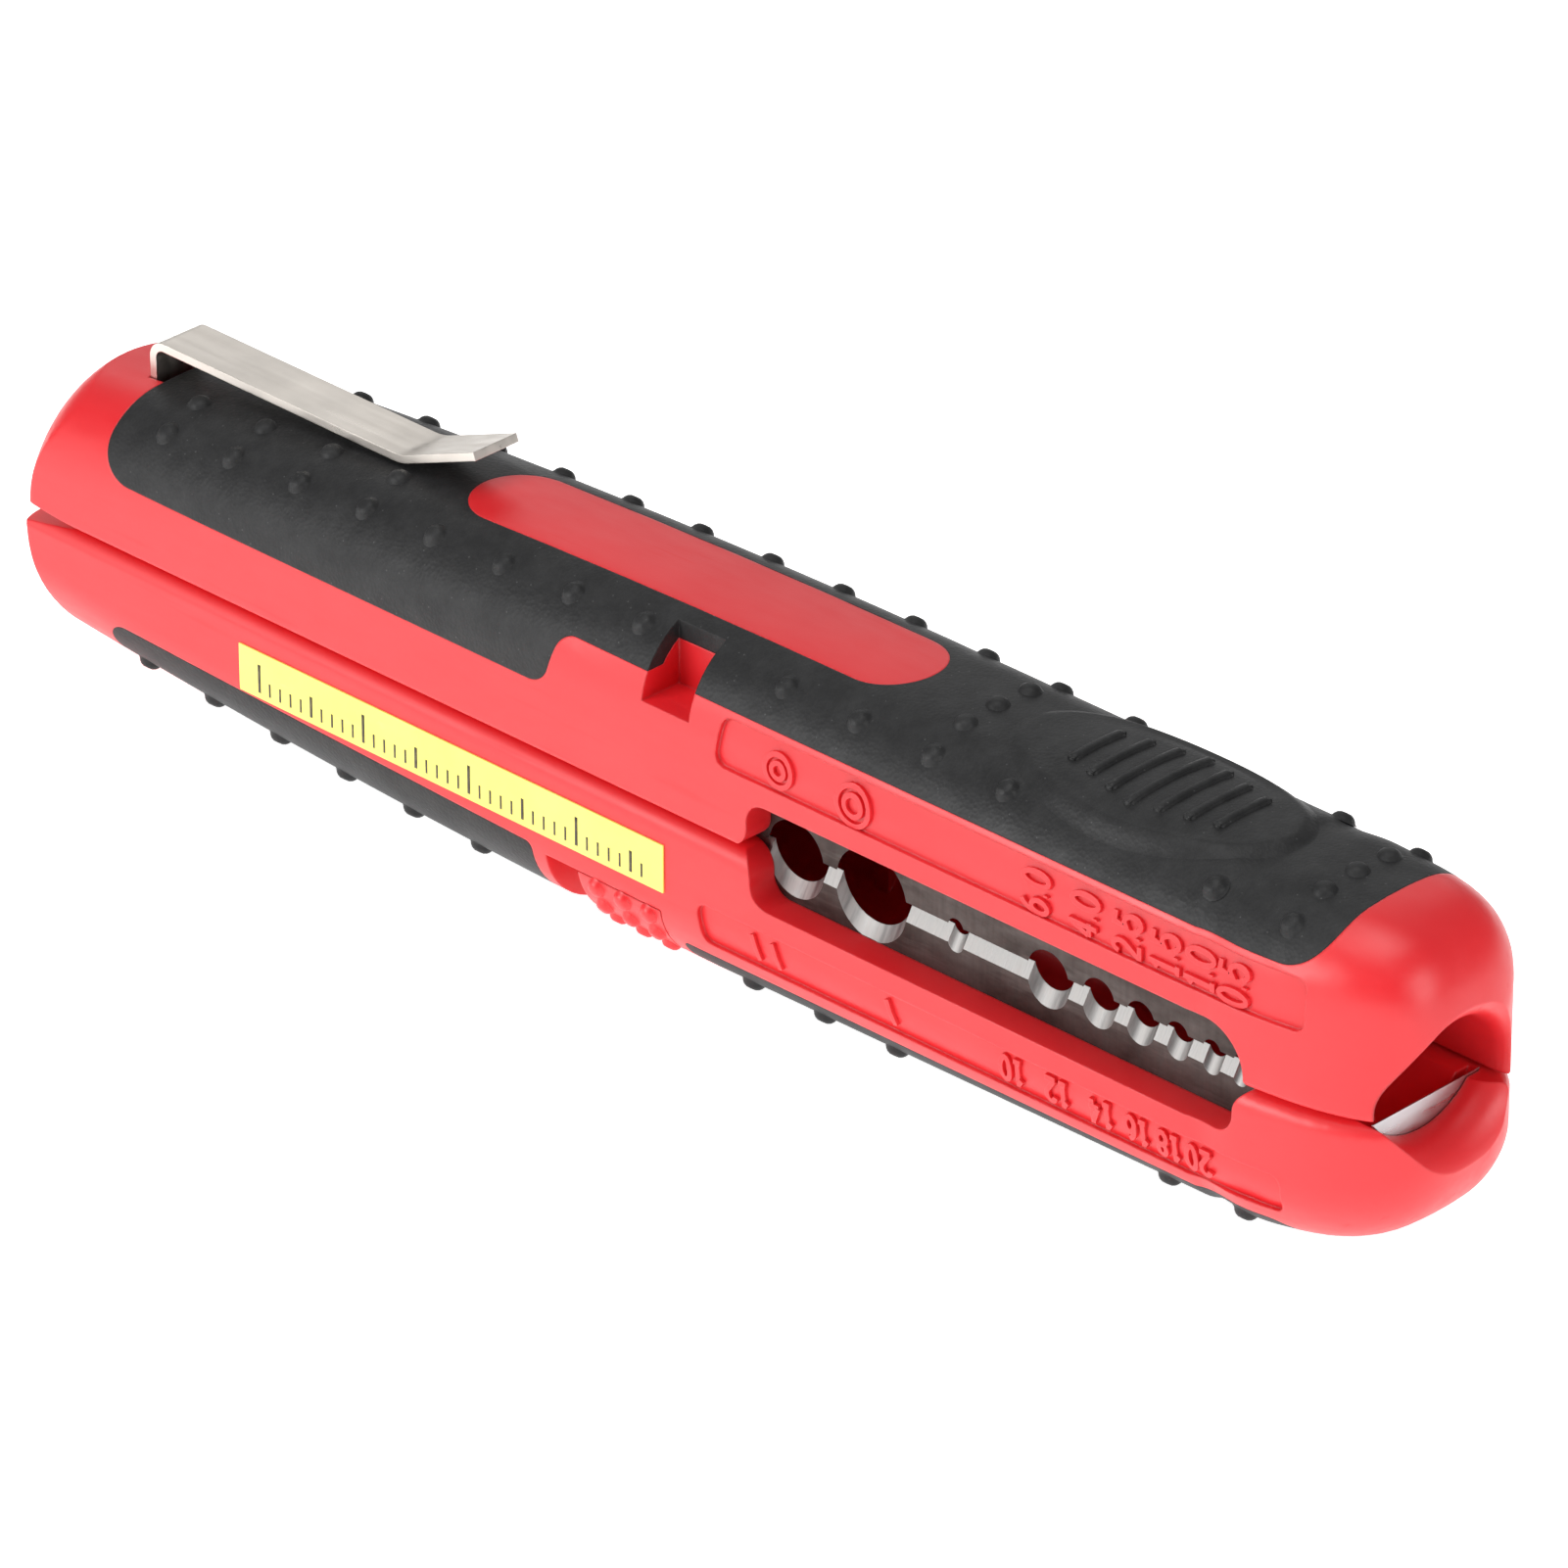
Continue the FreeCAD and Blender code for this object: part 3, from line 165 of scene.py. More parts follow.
# Studio: each light's place, size and power, the glow all round, and the floor
LIGHTS = {
    "key": ((-0.28, -0.62, 0.24), (0.36, 0.24), 2.7),
    "fill": ((0.62, -0.05, 0.22), (0.30, 0.30), 1.2),
    "top": ((0.0, -0.15, 0.75), (0.6, 0.6), 2.9),
    "back": ((-0.45, 0.45, 0.36), (0.6, 0.4), 0.55),
}
GLOW = 0.25
FLOOR_HALF_SIZE = 3.0
FLOOR_DROP = 0.00002


# Materials

class Shader:
    """Short way to build a node tree."""

    def __init__(self, name):
        self.material = bpy.data.materials.new(name)
        self.material.use_nodes = True
        self.tree = self.material.node_tree
        self.tree.nodes.clear()
        self.out = self.node("ShaderNodeOutputMaterial")
        self.bsdf = self.node("ShaderNodeBsdfPrincipled")
        self.link(self.bsdf.outputs[0], self.out.inputs["Surface"])
        self.where = self.node("ShaderNodeTexCoord")

    def node(self, kind, **settings):
        made = self.tree.nodes.new(kind)
        for key, value in settings.items():
            setattr(made, key, value)
        return made

    def link(self, a, b):
        self.tree.links.new(a, b)

    def base(self, **values):
        for key, value in values.items():
            self.bsdf.inputs[key.replace("_", " ")].default_value = value

    def place(self, stretch):
        """The object's own coordinates, stretched."""
        mapping = self.node("ShaderNodeMapping")
        mapping.inputs["Scale"].default_value = stretch
        self.link(self.where.outputs["Object"], mapping.inputs["Vector"])
        return mapping.outputs[0]

    def noise(self, scale, detail=4.0, rough=0.55, stretch=(1, 1, 1)):
        """Noise in the object's own space, so that it moves with the piece."""
        made = self.node("ShaderNodeTexNoise")
        made.inputs["Scale"].default_value = scale
        made.inputs["Detail"].default_value = detail
        made.inputs["Roughness"].default_value = rough
        self.link(self.place(stretch), made.inputs["Vector"])
        return made.outputs["Fac"]

    def cells(self, scale):
        """Distance to the nearest of many scattered points."""
        made = self.node("ShaderNodeTexVoronoi")
        made.inputs["Scale"].default_value = scale
        self.link(self.place((1, 1, 1)), made.inputs["Vector"])
        return made.outputs["Distance"]

    def ramp(self, source, low, high, start, end):
        """Spreads source between low and high onto start to end."""
        made = self.node("ShaderNodeMapRange")
        for key, value in (("From Min", low), ("From Max", high), ("To Min", start), ("To Max", end)):
            made.inputs[key].default_value = value
        self.link(source, made.inputs["Value"])
        return made.outputs["Result"]

    def math(self, operation, a, b=0.0):
        """Result of an operation on values or sockets."""
        made = self.node("ShaderNodeMath", operation=operation)
        for socket, value in zip(made.inputs, (a, b)):
            if isinstance(value, bpy.types.NodeSocket):
                self.link(value, socket)
            else:
                socket.default_value = value
        return made.outputs[0]

    def mix(self, factor, a, b):
        """Mix of two colours, given as values or sockets. Sockets 6 and 7 take the colours."""
        made = self.node("ShaderNodeMix", data_type="RGBA")
        for socket, value in ((made.inputs["Factor"], factor), (made.inputs[6], a), (made.inputs[7], b)):
            if isinstance(value, bpy.types.NodeSocket):
                self.link(value, socket)
            else:
                socket.default_value = value
        return made.outputs[2]

    def bevel(self, radius):
        """Normal that rounds the edges."""
        made = self.node("ShaderNodeBevel", samples=6)
        made.inputs["Radius"].default_value = radius
        return made.outputs[0]

    def worn_edges(self, radius, low, high):
        """1 on sharp edges and 0 on open faces, broken up by noise."""
        shape = self.node("ShaderNodeNewGeometry")
        dot = self.node("ShaderNodeVectorMath", operation="DOT_PRODUCT")
        self.link(self.bevel(radius), dot.inputs[0])
        self.link(shape.outputs["Normal"], dot.inputs[1])
        edge = self.ramp(dot.outputs["Value"], low, high, 1.0, 0.0)
        return self.math("MULTIPLY", edge, self.ramp(self.noise(700.0, 5.0, 0.7), 0.4, 0.62, 0.0, 1.0))

    def bump(self, layers, edge):
        """Bevelled edges with layers of (height, strength, distance) laid over them."""
        normal = self.bevel(edge)
        for height, strength, distance in layers:
            made = self.node("ShaderNodeBump")
            made.inputs["Strength"].default_value = strength
            made.inputs["Distance"].default_value = distance
            self.link(height, made.inputs["Height"])
            self.link(normal, made.inputs["Normal"])
            normal = made.outputs[0]
        self.link(normal, self.bsdf.inputs["Normal"])


def red_plastic(name, edge):
    """Satin moulded plastic with flow clouds, fine texture, scuffs and paler rubbed edges."""
    s = Shader(name)
    s.base(Subsurface_Weight=0.10, Subsurface_Scale=0.0009, IOR=1.56)
    s.bsdf.inputs["Subsurface Radius"].default_value = (1.0, 0.2, 0.12)
    cloud = s.ramp(s.noise(60.0), 0.3, 0.7, 0.0, 1.0)
    colour = s.mix(cloud, (0.68, 0.012, 0.018, 1), (0.74, 0.018, 0.024, 1))
    colour = s.mix(s.math("MULTIPLY", s.worn_edges(0.00018, 0.80, 0.97), 0.25), colour, (0.86, 0.14, 0.14, 1))
    s.link(colour, s.bsdf.inputs["Base Color"])
    scuff = s.ramp(s.noise(900.0, 6.0, 0.6, (0.25, 1, 1)), 0.3, 0.75, 0.33, 0.44)
    scratch = s.ramp(s.noise(1500.0, 2.0, 0.5, (0.05, 1, 0.6)), 0.66, 0.76, 0.0, 0.12)
    s.link(s.math("ADD", scuff, scratch), s.bsdf.inputs["Roughness"])
    s.bump([(s.noise(3200.0, 2.0), 0.10, 0.00003), (s.noise(140.0, 3.0), 0.06, 0.0002)], edge)
    return s.material


def black_rubber():
    """Matt soft-touch rubber with fine leathery grain, pale dust specks and polished places."""
    s = Shader("black_rubber")
    s.base(IOR=1.45, Specular_IOR_Level=0.3)
    cloud = s.ramp(s.noise(420.0, 6.0, 0.7), 0.4, 0.75, 0.0, 1.0)
    colour = s.mix(cloud, (0.016, 0.016, 0.0165, 1), (0.030, 0.030, 0.0305, 1))
    dust = s.ramp(s.cells(1300.0), 0.03, 0.10, 0.35, 0.0)
    colour = s.mix(dust, colour, (0.16, 0.16, 0.16, 1))
    s.link(colour, s.bsdf.inputs["Base Color"])
    s.link(s.ramp(s.noise(90.0, 4.0), 0.3, 0.7, 0.42, 0.55), s.bsdf.inputs["Roughness"])
    s.bump([(s.cells(3600.0), 0.35, 0.00005), (s.noise(1500.0, 3.0), 0.25, 0.00005)], 0.00015)
    return s.material


def steel(name, colour, rough, stretch, grain=1600.0, edge=0.00006, depth=0.12):
    """Metal with a grain along one direction, cloudy tone and brighter rubbed edges."""
    s = Shader(name)
    s.base(Metallic=1.0)
    dark = tuple(0.84 * c for c in colour) + (1,)
    body = s.mix(s.ramp(s.noise(220.0, 4.0), 0.3, 0.7, 0.0, 1.0), dark, tuple(colour) + (1,))
    bright = tuple(min(1.0, 1.2 * c) for c in colour) + (1,)
    s.link(s.mix(s.worn_edges(edge * 1.5, 0.8, 0.97), body, bright), s.bsdf.inputs["Base Color"])
    lines = s.noise(grain, 3.0, 0.5, stretch)
    s.link(s.ramp(lines, 0.3, 0.7, rough * 0.8, rough * 1.25), s.bsdf.inputs["Roughness"])
    s.bump([(lines, depth, 0.00002)], edge)
    return s.material


def blade_steel():
    """Dark oxide with rolling marks on the flat sides, bright striations where the edge is ground."""
    s = Shader("blade_steel")
    s.base(Metallic=1.0)
    split = s.node("ShaderNodeSeparateXYZ")
    s.link(s.where.outputs["Normal"], split.inputs[0])
    ground = s.ramp(s.math("ABSOLUTE", split.outputs["Y"]), 0.90, 0.97, 1.0, 0.0)
    stain = s.ramp(s.noise(300.0, 6.0, 0.65, (0.5, 1, 1)), 0.3, 0.7, 0.0, 1.0)
    dark = s.mix(stain, (0.038, 0.029, 0.026, 1), (0.115, 0.100, 0.094, 1))
    streak = s.ramp(s.noise(900.0, 4.0, 0.6, (0.12, 1, 1)), 0.55, 0.75, 0.0, 0.35)
    dark = s.mix(streak, dark, (0.22, 0.20, 0.19, 1))
    lines = s.noise(3000.0, 3.0, 0.5, (1.0, 0.15, 0.1))
    bright = s.mix(s.ramp(lines, 0.35, 0.65, 0.0, 1.0), (0.24, 0.235, 0.23, 1), (0.38, 0.373, 0.362, 1))
    s.link(s.mix(ground, dark, bright), s.bsdf.inputs["Base Color"])
    s.link(s.ramp(lines, 0.3, 0.7, 0.44, 0.60), s.bsdf.inputs["Roughness"])
    s.bump([(lines, 0.2, 0.00002)], 0.00004)
    return s.material


def label_film():
    """Glossy printed film with faint waves and rubbed, dusty places."""
    s = Shader("label_film")
    s.base(IOR=1.48)
    tone = s.ramp(s.noise(180.0, 4.0), 0.3, 0.7, 0.0, 1.0)
    colour = s.mix(tone, (0.89, 0.81, 0.160, 1), (0.93, 0.86, 0.195, 1))
    rubbed = s.ramp(s.noise(800.0, 6.0, 0.7, (0.3, 1, 1)), 0.62, 0.8, 0.0, 0.3)
    s.link(s.mix(rubbed, colour, (0.70, 0.66, 0.38, 1)), s.bsdf.inputs["Base Color"])
    s.link(s.ramp(s.noise(700.0), 0.3, 0.7, 0.30, 0.42), s.bsdf.inputs["Roughness"])
    s.bump([(s.noise(260.0, 3.0), 0.10, 0.00006)], 0.00004)
    return s.material


def ink():
    """Dark brown print, a little thin in places."""
    s = Shader("label_print")
    s.base(IOR=1.48)
    thin = s.ramp(s.noise(2400.0, 4.0, 0.6), 0.4, 0.75, 0.0, 1.0)
    s.link(s.mix(thin, (0.035, 0.026, 0.016, 1), (0.11, 0.09, 0.04, 1)), s.bsdf.inputs["Base Color"])
    s.link(s.ramp(s.noise(900.0), 0.3, 0.7, 0.34, 0.46), s.bsdf.inputs["Roughness"])
    s.bump([(s.noise(1200.0), 0.05, 0.00002)], 0.00002)
    return s.material


RED = red_plastic("red_plastic", 0.00022)
RED_FINE = red_plastic("red_plastic_fine", 0.00006)
RUBBER = black_rubber()
BLADE = blade_steel()
CLIP = steel("clip_nickel", (0.80, 0.745, 0.68), 0.34, (0.08, 1, 1), 1400.0, 0.00008, 0.06)
ZINC = steel("zinc_screw", (0.52, 0.51, 0.48), 0.34, (1, 1, 1))
SPRING = steel("spring_steel", (0.32, 0.32, 0.33), 0.36, (0.2, 1, 1))
RING = steel("ring_steel", (0.55, 0.55, 0.56), 0.30, (1, 0.12, 1), 2600.0)
YELLOW = label_film()
INK = ink()

BY_SLOT = {
    "red_shell": RED, "black_grip": RUBBER, "blade_steel": BLADE, "clip_steel": CLIP,
    "hardware_steel": ZINC, "spring_steel": SPRING, "label_yellow": YELLOW,
}
for part in frame["record"]["subparts"]:
    piece = NODES[part["node"]]
    piece.data.materials.clear()
    piece.data.materials.append(BY_SLOT[part["material_slot"]])
NODES["ring_blade"].data.materials[0] = RING


# Shading of the CAD pieces

def smooth_group():
    """Geometry nodes that weld a piece and shade it smooth up to a set edge angle."""
    tree = bpy.data.node_groups.new("smooth_by_angle", "GeometryNodeTree")
    tree.interface.new_socket("Geometry", in_out="INPUT", socket_type="NodeSocketGeometry")
    tree.interface.new_socket("Geometry", in_out="OUTPUT", socket_type="NodeSocketGeometry")
    start = tree.nodes.new("NodeGroupInput")
    end = tree.nodes.new("NodeGroupOutput")
    weld = tree.nodes.new("GeometryNodeMergeByDistance")
    weld.inputs["Distance"].default_value = WELD_DISTANCE
    faces = tree.nodes.new("GeometryNodeSetShadeSmooth")
    edges = tree.nodes.new("GeometryNodeSetShadeSmooth")
    edges.domain = "EDGE"
    edges.inputs["Shade Smooth"].default_value = False
    angle = tree.nodes.new("GeometryNodeInputMeshEdgeAngle")
    test = tree.nodes.new("FunctionNodeCompare")
    test.data_type = "FLOAT"
    test.operation = "GREATER_THAN"
    test.inputs[1].default_value = math.radians(SMOOTH_DEGREES)
    tree.links.new(start.outputs[0], weld.inputs[0])
    tree.links.new(weld.outputs[0], faces.inputs[0])
    tree.links.new(faces.outputs[0], edges.inputs[0])
    tree.links.new(angle.outputs["Unsigned Angle"], test.inputs[0])
    tree.links.new(test.outputs[0], edges.inputs["Selection"])
    tree.links.new(edges.outputs[0], end.inputs[0])
    return tree


SMOOTH = smooth_group()
for piece in NODES.values():
    for polygon in piece.data.polygons:
        polygon.use_smooth = True
    piece.modifiers.new("smooth", "NODES").node_group = SMOOTH


# The outside of the body

def place(x, y, z):
    """Point of the frame from the tool's own millimetres."""
    return Vector((x - ORIGIN_X, y, z + PARTING_HEIGHT)) * MM


def taper(x, start, length, power):
    """Superellipse that closes the nose."""
    run = max(0.0, (x - start) / length)
    return (1.0 - run ** power) ** (1.0 / power)


def crown(half, x):
    """Crown height over the parting plane, before the nose."""
    if x > half["high_x"]:
        slope = (half["high"] - half["front"]) / (half["front_x"] - half["high_x"])
        return half["high"] - (x - half["high_x"]) * slope
    bend = (half["high_x"] - half["rear_x"]) ** 2 / (2 * (half["high"] - half["rear"]))
    return half["high"] - bend + math.sqrt(bend ** 2 - (half["high_x"] - x) ** 2)


def section(upper, x):
    """Shoulder centre as lateral place and height, its radius, the crown's radius, top and tilt."""
    half, nose = (UPPER_CROWN, UPPER_NOSE) if upper else (LOWER_CROWN, LOWER_NOSE)
    share = taper(x, *NOSE_PLAN)
    width, shoulder, arch = HALF_WIDTH * share, SHOULDER_RADIUS * share, CROWN_RADIUS * share
    top = crown(half, x) * taper(x, *nose)
    tilt = math.asin((width - shoulder) / (arch - shoulder))
    return width - shoulder, top - arch + (arch - shoulder) * math.cos(tilt), shoulder, arch, top, tilt


def skin(upper, x, y, lift=0.0):
    """Point on the outside of a half over the lateral place y, and the outward direction."""
    inner, spring, shoulder, arch, top, tilt = section(upper, x)
    side = math.copysign(1.0, y)
    if abs(y) <= arch * math.sin(tilt):
        centre, radius, lean = Vector((0, top - arch)), arch, math.asin(abs(y) / arch)
    else:
        centre = Vector((side * inner, spring))
        radius, lean = shoulder, math.asin(min(1.0, (abs(y) - inner) / shoulder))
    out = Vector((side * math.sin(lean), math.cos(lean)))
    spot = centre + out * (radius + lift)
    flip = 1.0 if upper else -1.0
    return place(x, spot.x, flip * spot.y), Vector((0.0, out.x, flip * out.y))


def flank(upper, x, z, lift):
    """Point on the near side of a half at a height over the parting plane, moved outwards by lift."""
    inner, spring, shoulder, *_ = section(upper, x)
    lean = math.asin(min(1.0, max(0.0, z - spring) / shoulder))
    out = Vector((-math.cos(lean), math.sin(lean)))
    flip = 1.0 if upper else -1.0
    y = -inner + out.x * (shoulder + lift)
    height = min(z, spring) + out.y * (shoulder + lift)
    return place(x, y, flip * height)


# Pieces made here

def finish_mesh(name, mesh, smooth=True):
    """Object of a finished mesh."""
    bmesh.ops.recalc_face_normals(mesh, faces=mesh.faces)
    for face in mesh.faces:
        face.smooth = smooth
    data = bpy.data.meshes.new(name)
    mesh.to_mesh(data)
    made = bpy.data.objects.new(name, data)
    bpy.context.scene.collection.objects.link(made)
    return made


def dress(obj, material, body):
    """Material, slot and body of a piece made here."""
    obj.data.materials.append(material)
    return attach(obj, body)


def dome_mesh(name, spots, profile, around):
    """One mesh of round buttons with a profile of radius and height, each at a point along a direction."""
    mesh = bmesh.new()
    for point, out, share in spots:
        where = Matrix.Translation(point) @ out.to_track_quat("Z", "Y").to_matrix().to_4x4()
        where = where @ Matrix.Diagonal((1, 1, share, 1))
        rows = [[mesh.verts.new(where @ (Vector((0, 0, profile[0][1])) * MM))]]
        for r, h in profile[1:]:
            turns = [2 * math.pi * k / around for k in range(around)]
            rows.append([mesh.verts.new(where @ (Vector((r * math.cos(a), r * math.sin(a), h)) * MM))
                         for a in turns])
        for k in range(around):
            nxt = (k + 1) % around
            mesh.faces.new((rows[0][0], rows[1][k], rows[1][nxt]))
            for low, high in zip(rows[1:], rows[2:]):
                mesh.faces.new((low[k], high[k], high[nxt], low[nxt]))
    return finish_mesh(name, mesh)


def run_of_bumps(first, count):
    """Places of a run of bumps along the tool."""
    return [first + BUMP_PITCH * k for k in range(count)]


def upper_bumps():
    """Point, outward direction and share of height of each bump of the upper grip."""
    rear, front = run_of_bumps(*UPPER_REAR_RUN), run_of_bumps(*UPPER_FRONT_RUN)
    spots = [(x, BUMP_OUTER) for x in rear]
    spots += [(x, -BUMP_OUTER) for k, x in enumerate(rear) if k != UPPER_AT_POCKET]
    spots += [(x, y) for x in front for y in (-BUMP_OUTER, BUMP_OUTER)]
    spots += [(x, y) for x in rear[:UPPER_WITH_INNER] for y in (-BUMP_INNER, BUMP_INNER)]
    full_rows = (rear[UPPER_FULL_ROW], front[-1])
    spots += [(x, y) for x in full_rows for y in (-BUMP_INNER, BUMP_MIDDLE, BUMP_INNER)]
    return [(*skin(True, x, y), 1.0) for x, y in spots]


def lower_bumps():
    """Point, outward direction and share of height of each bump of the lower grips."""
    sides = (-BUMP_OUTER, -BUMP_INNER, BUMP_INNER, BUMP_OUTER)
    return [(*skin(False, x, y), 1.0) for run in LOWER_RUNS for x in run_of_bumps(*run) for y in sides]


def slider_dots():
    """Point, outward direction and share of height of each dot of the slider."""
    spots = [(x, side * share, height) for x in DOT_X for share, height in DOT_ROWS
             for side in ((1,) if share == 0 else (-1, 1))]
    return [(*skin(False, x, share * HALF_WIDTH), height / DOT_HIGHEST) for x, share, height in spots]


def ridges():
    """Rounded bars across the thumb pad, each a half-sunk tube with round ends."""
    mesh = bmesh.new()
    middle = (RIDGE_COUNT - 1) / 2
    for k in range(RIDGE_COUNT):
        x = RIDGE_X + (k - middle) * RIDGE_PITCH
        reach = RIDGE_HALF_MIDDLE - RIDGE_HALF_STEP * abs(k - middle)
        ends = [(-reach + RIDGE_RADIUS * (1 - math.cos(a)), math.sin(a)) for a in RIDGE_END_TURNS]
        stations = ends + [(-reach + RIDGE_RADIUS + 2 * (reach - RIDGE_RADIUS) * j / RIDGE_STEPS, 1.0)
                           for j in range(RIDGE_STEPS + 1)]
        stations += [(-y, share) for y, share in reversed(ends)]
        rings = []
        for y, share in stations:
            ring = []
            for j in range(RIDGE_SIDES):
                turn = 2 * math.pi * j / RIDGE_SIDES
                across = RIDGE_RADIUS * share * math.cos(turn)
                lift = RIDGE_SINK + RIDGE_RADIUS * share * math.sin(turn)
                ring.append(mesh.verts.new(skin(True, x + across, y, lift)[0]))
            rings.append(ring)
        for a, b in zip(rings, rings[1:]):
            for j in range(RIDGE_SIDES):
                nxt = (j + 1) % RIDGE_SIDES
                mesh.faces.new((a[j], b[j], b[nxt], a[nxt]))
        mesh.faces.new(rings[0])
        mesh.faces.new(list(reversed(rings[-1])))
    return finish_mesh("thumb_pad_ridges", mesh)


def pad_cover():
    """Soft plateau over the thumb pad, running down into the grip all round."""
    tree = BVHTree.FromObject(NODES["upper_grip"], bpy.context.evaluated_depsgraph_get())
    up = Vector((0, 0, MM))

    def over(turn, share, beyond):
        """Point of the grip under a place given by its turn, share of the oval and distance past it."""
        cos, sin = math.cos(turn), math.sin(turn)
        out = Vector((cos / PAD_HALF_LENGTH, sin / PAD_HALF_WIDTH)).normalized()
        x = PAD_X + share * PAD_HALF_LENGTH * cos + beyond * out.x
        y = share * PAD_HALF_WIDTH * sin + beyond * out.y
        return tree.ray_cast(place(x, y, ABOVE_ALL), Vector((0, 0, -1)))[0]

    mesh = bmesh.new()
    columns = []
    for j in range(PAD_SIDES):
        turn = 2 * math.pi * j / PAD_SIDES
        cos, sin = math.cos(turn), math.sin(turn)
        spots = [skin(True, PAD_X + share * PAD_HALF_LENGTH * cos, share * PAD_HALF_WIDTH * sin,
                      PAD_RISE + PAD_CROWN * (1 - share ** 2))[0] for share in PAD_PLATEAU_SHARES]
        spots += [over(turn, share, 0.0) + up * PAD_COVER for share in PAD_RIM_SHARES]
        step = (over(turn, PAD_RIM_SHARES[-1], 0.0) - over(turn, 1.0, PAD_FOOT)).z / MM + PAD_COVER
        for k in range(PAD_SKIRT_STEPS + 1):
            fall = 0.5 + 0.5 * math.cos(math.pi * k / PAD_SKIRT_STEPS)
            beyond = PAD_SKIRT_START + PAD_SKIRT * k / PAD_SKIRT_STEPS
            spots.append(over(turn, 1.0, beyond) + up * ((step + PAD_SINK) * fall - PAD_SINK))
        columns.append([mesh.verts.new(spot) for spot in spots])
    middle = mesh.verts.new(skin(True, PAD_X, 0.0, PAD_RISE + PAD_CROWN)[0])
    for a, b in zip(columns, columns[1:] + columns[:1]):
        mesh.faces.new((middle, a[0], b[0]))
        for k in range(len(a) - 1):
            mesh.faces.new((a[k], a[k + 1], b[k + 1], b[k]))
    return finish_mesh("thumb_pad_cover", mesh)


# Stroke digits in a box one unit wide and one unit high

def arc(x, y, rx, ry, start, end, count=12):
    """Points along an elliptical arc between two angles in degrees."""
    steps = [math.radians(start + (end - start) * k / count) for k in range(count + 1)]
    return [(x + rx * math.cos(a), y + ry * math.sin(a)) for a in steps]


DIGITS = {
    "0": [arc(0.5, 0.5, 0.46, 0.5, 90, 450, 18)],
    "1": [[(0.12, 0.76), (0.55, 1.0)], [(0.55, 1.08), (0.55, 0.0)], [(0.15, 0.0), (0.95, 0.0)]],
    "2": [arc(0.48, 0.71, 0.42, 0.29, 165, -38) + [(0.08, 0.02)], [(0.0, 0.0), (0.98, 0.0)]],
    "4": [[(0.98, 0.3), (0.02, 0.3)], [(0.1, 0.32), (0.72, 1.0)], [(0.72, 1.08), (0.72, 0.0)]],
    "5": [[(0.92, 1.0), (0.2, 1.0), (0.12, 0.54)] + arc(0.47, 0.32, 0.45, 0.32, 120, -150)],
    "6": [arc(0.9, 0.36, 0.86, 0.66, 105, 178, 8), arc(0.5, 0.31, 0.45, 0.31, 90, 450, 16)],
    "8": [arc(0.5, 0.75, 0.36, 0.25, 90, 450, 14), arc(0.5, 0.26, 0.45, 0.27, 90, 450, 14)],
    ".": [[(0.3, 0.08), (0.5, 0.08), (0.7, 0.08)]],
}
DIGIT_WIDTH = {"1": 0.82, ".": 0.36}


def stroke(mesh, points, upper, to_side, rise=MARK_RISE):
    """Raised ribbon with sloped sides along flat points, which to_side lays in a field of the near side."""
    closed = (Vector(points[0]) - Vector(points[-1])).length < 0.001
    if closed:
        points = points[:-1]
    count = len(points)
    rows = []
    for k in range(count):
        a = Vector(points[k - 1]) if closed or k > 0 else Vector(points[k])
        b = Vector(points[(k + 1) % count]) if closed or k < count - 1 else Vector(points[k])
        here = Vector(points[k])
        first = (here - a).normalized() if (here - a).length > 0 else (b - here).normalized()
        second = (b - here).normalized() if (b - here).length > 0 else first
        lean = (first + second).normalized()
        side = Vector((-lean.y, lean.x)) / max(0.5, lean.dot(first))
        top, foot = MARK_STROKE / 2, MARK_STROKE / 2 + MARK_SLOPE
        ring = []
        for reach, lift in ((foot, MARK_ROOT), (top, rise), (-top, rise), (-foot, MARK_ROOT)):
            x, z = to_side(here + side * reach)
            ring.append(mesh.verts.new(flank(upper, x, z, lift - FIELD_DEPTH)))
        rows.append(ring)
    pairs = list(zip(rows, rows[1:])) + ([(rows[-1], rows[0])] if closed else [])
    for a, b in pairs:
        for j in range(3):
            mesh.faces.new((a[j], b[j], b[j + 1], a[j + 1]))
    if not closed:
        mesh.faces.new(rows[0])
        mesh.faces.new(list(reversed(rows[-1])))


def number(mesh, text, upper, x, z, size, gap):
    """Number centred on a place of the near side: on end in the upper field, upside down in the lower."""
    to_side = (lambda p: (x - p.y, z + p.x)) if upper else (lambda p: (x - p.x, z + p.y))
    wide, high = size
    spans = [wide * DIGIT_WIDTH.get(c, 1.0) for c in text]
    cursor = -(sum(spans) + gap * (len(text) - 1)) / 2
    for c, span in zip(text, spans):
        for k, points in enumerate(DIGITS[c]):
            flat = [(cursor + px * span, (py - 0.5) * high) for px, py in points]
            stroke(mesh, flat, upper, to_side, MARK_RISE + MARK_STEP * k)
        cursor += span + gap


def upper_marks():
    """Numbers and plain rings of the upper field."""
    mesh = bmesh.new()
    for text, x in UPPER_NUMBERS:
        number(mesh, text, True, x, UPPER_MARK_Z, UPPER_DIGIT, UPPER_GAP)
    for x, radius in RINGS:
        stroke(mesh, arc(0, 0, radius, radius, 0, 360, 28), True, lambda p: (x + p.x, UPPER_MARK_Z + p.y))
    return finish_mesh("upper_field_marks", mesh, False)


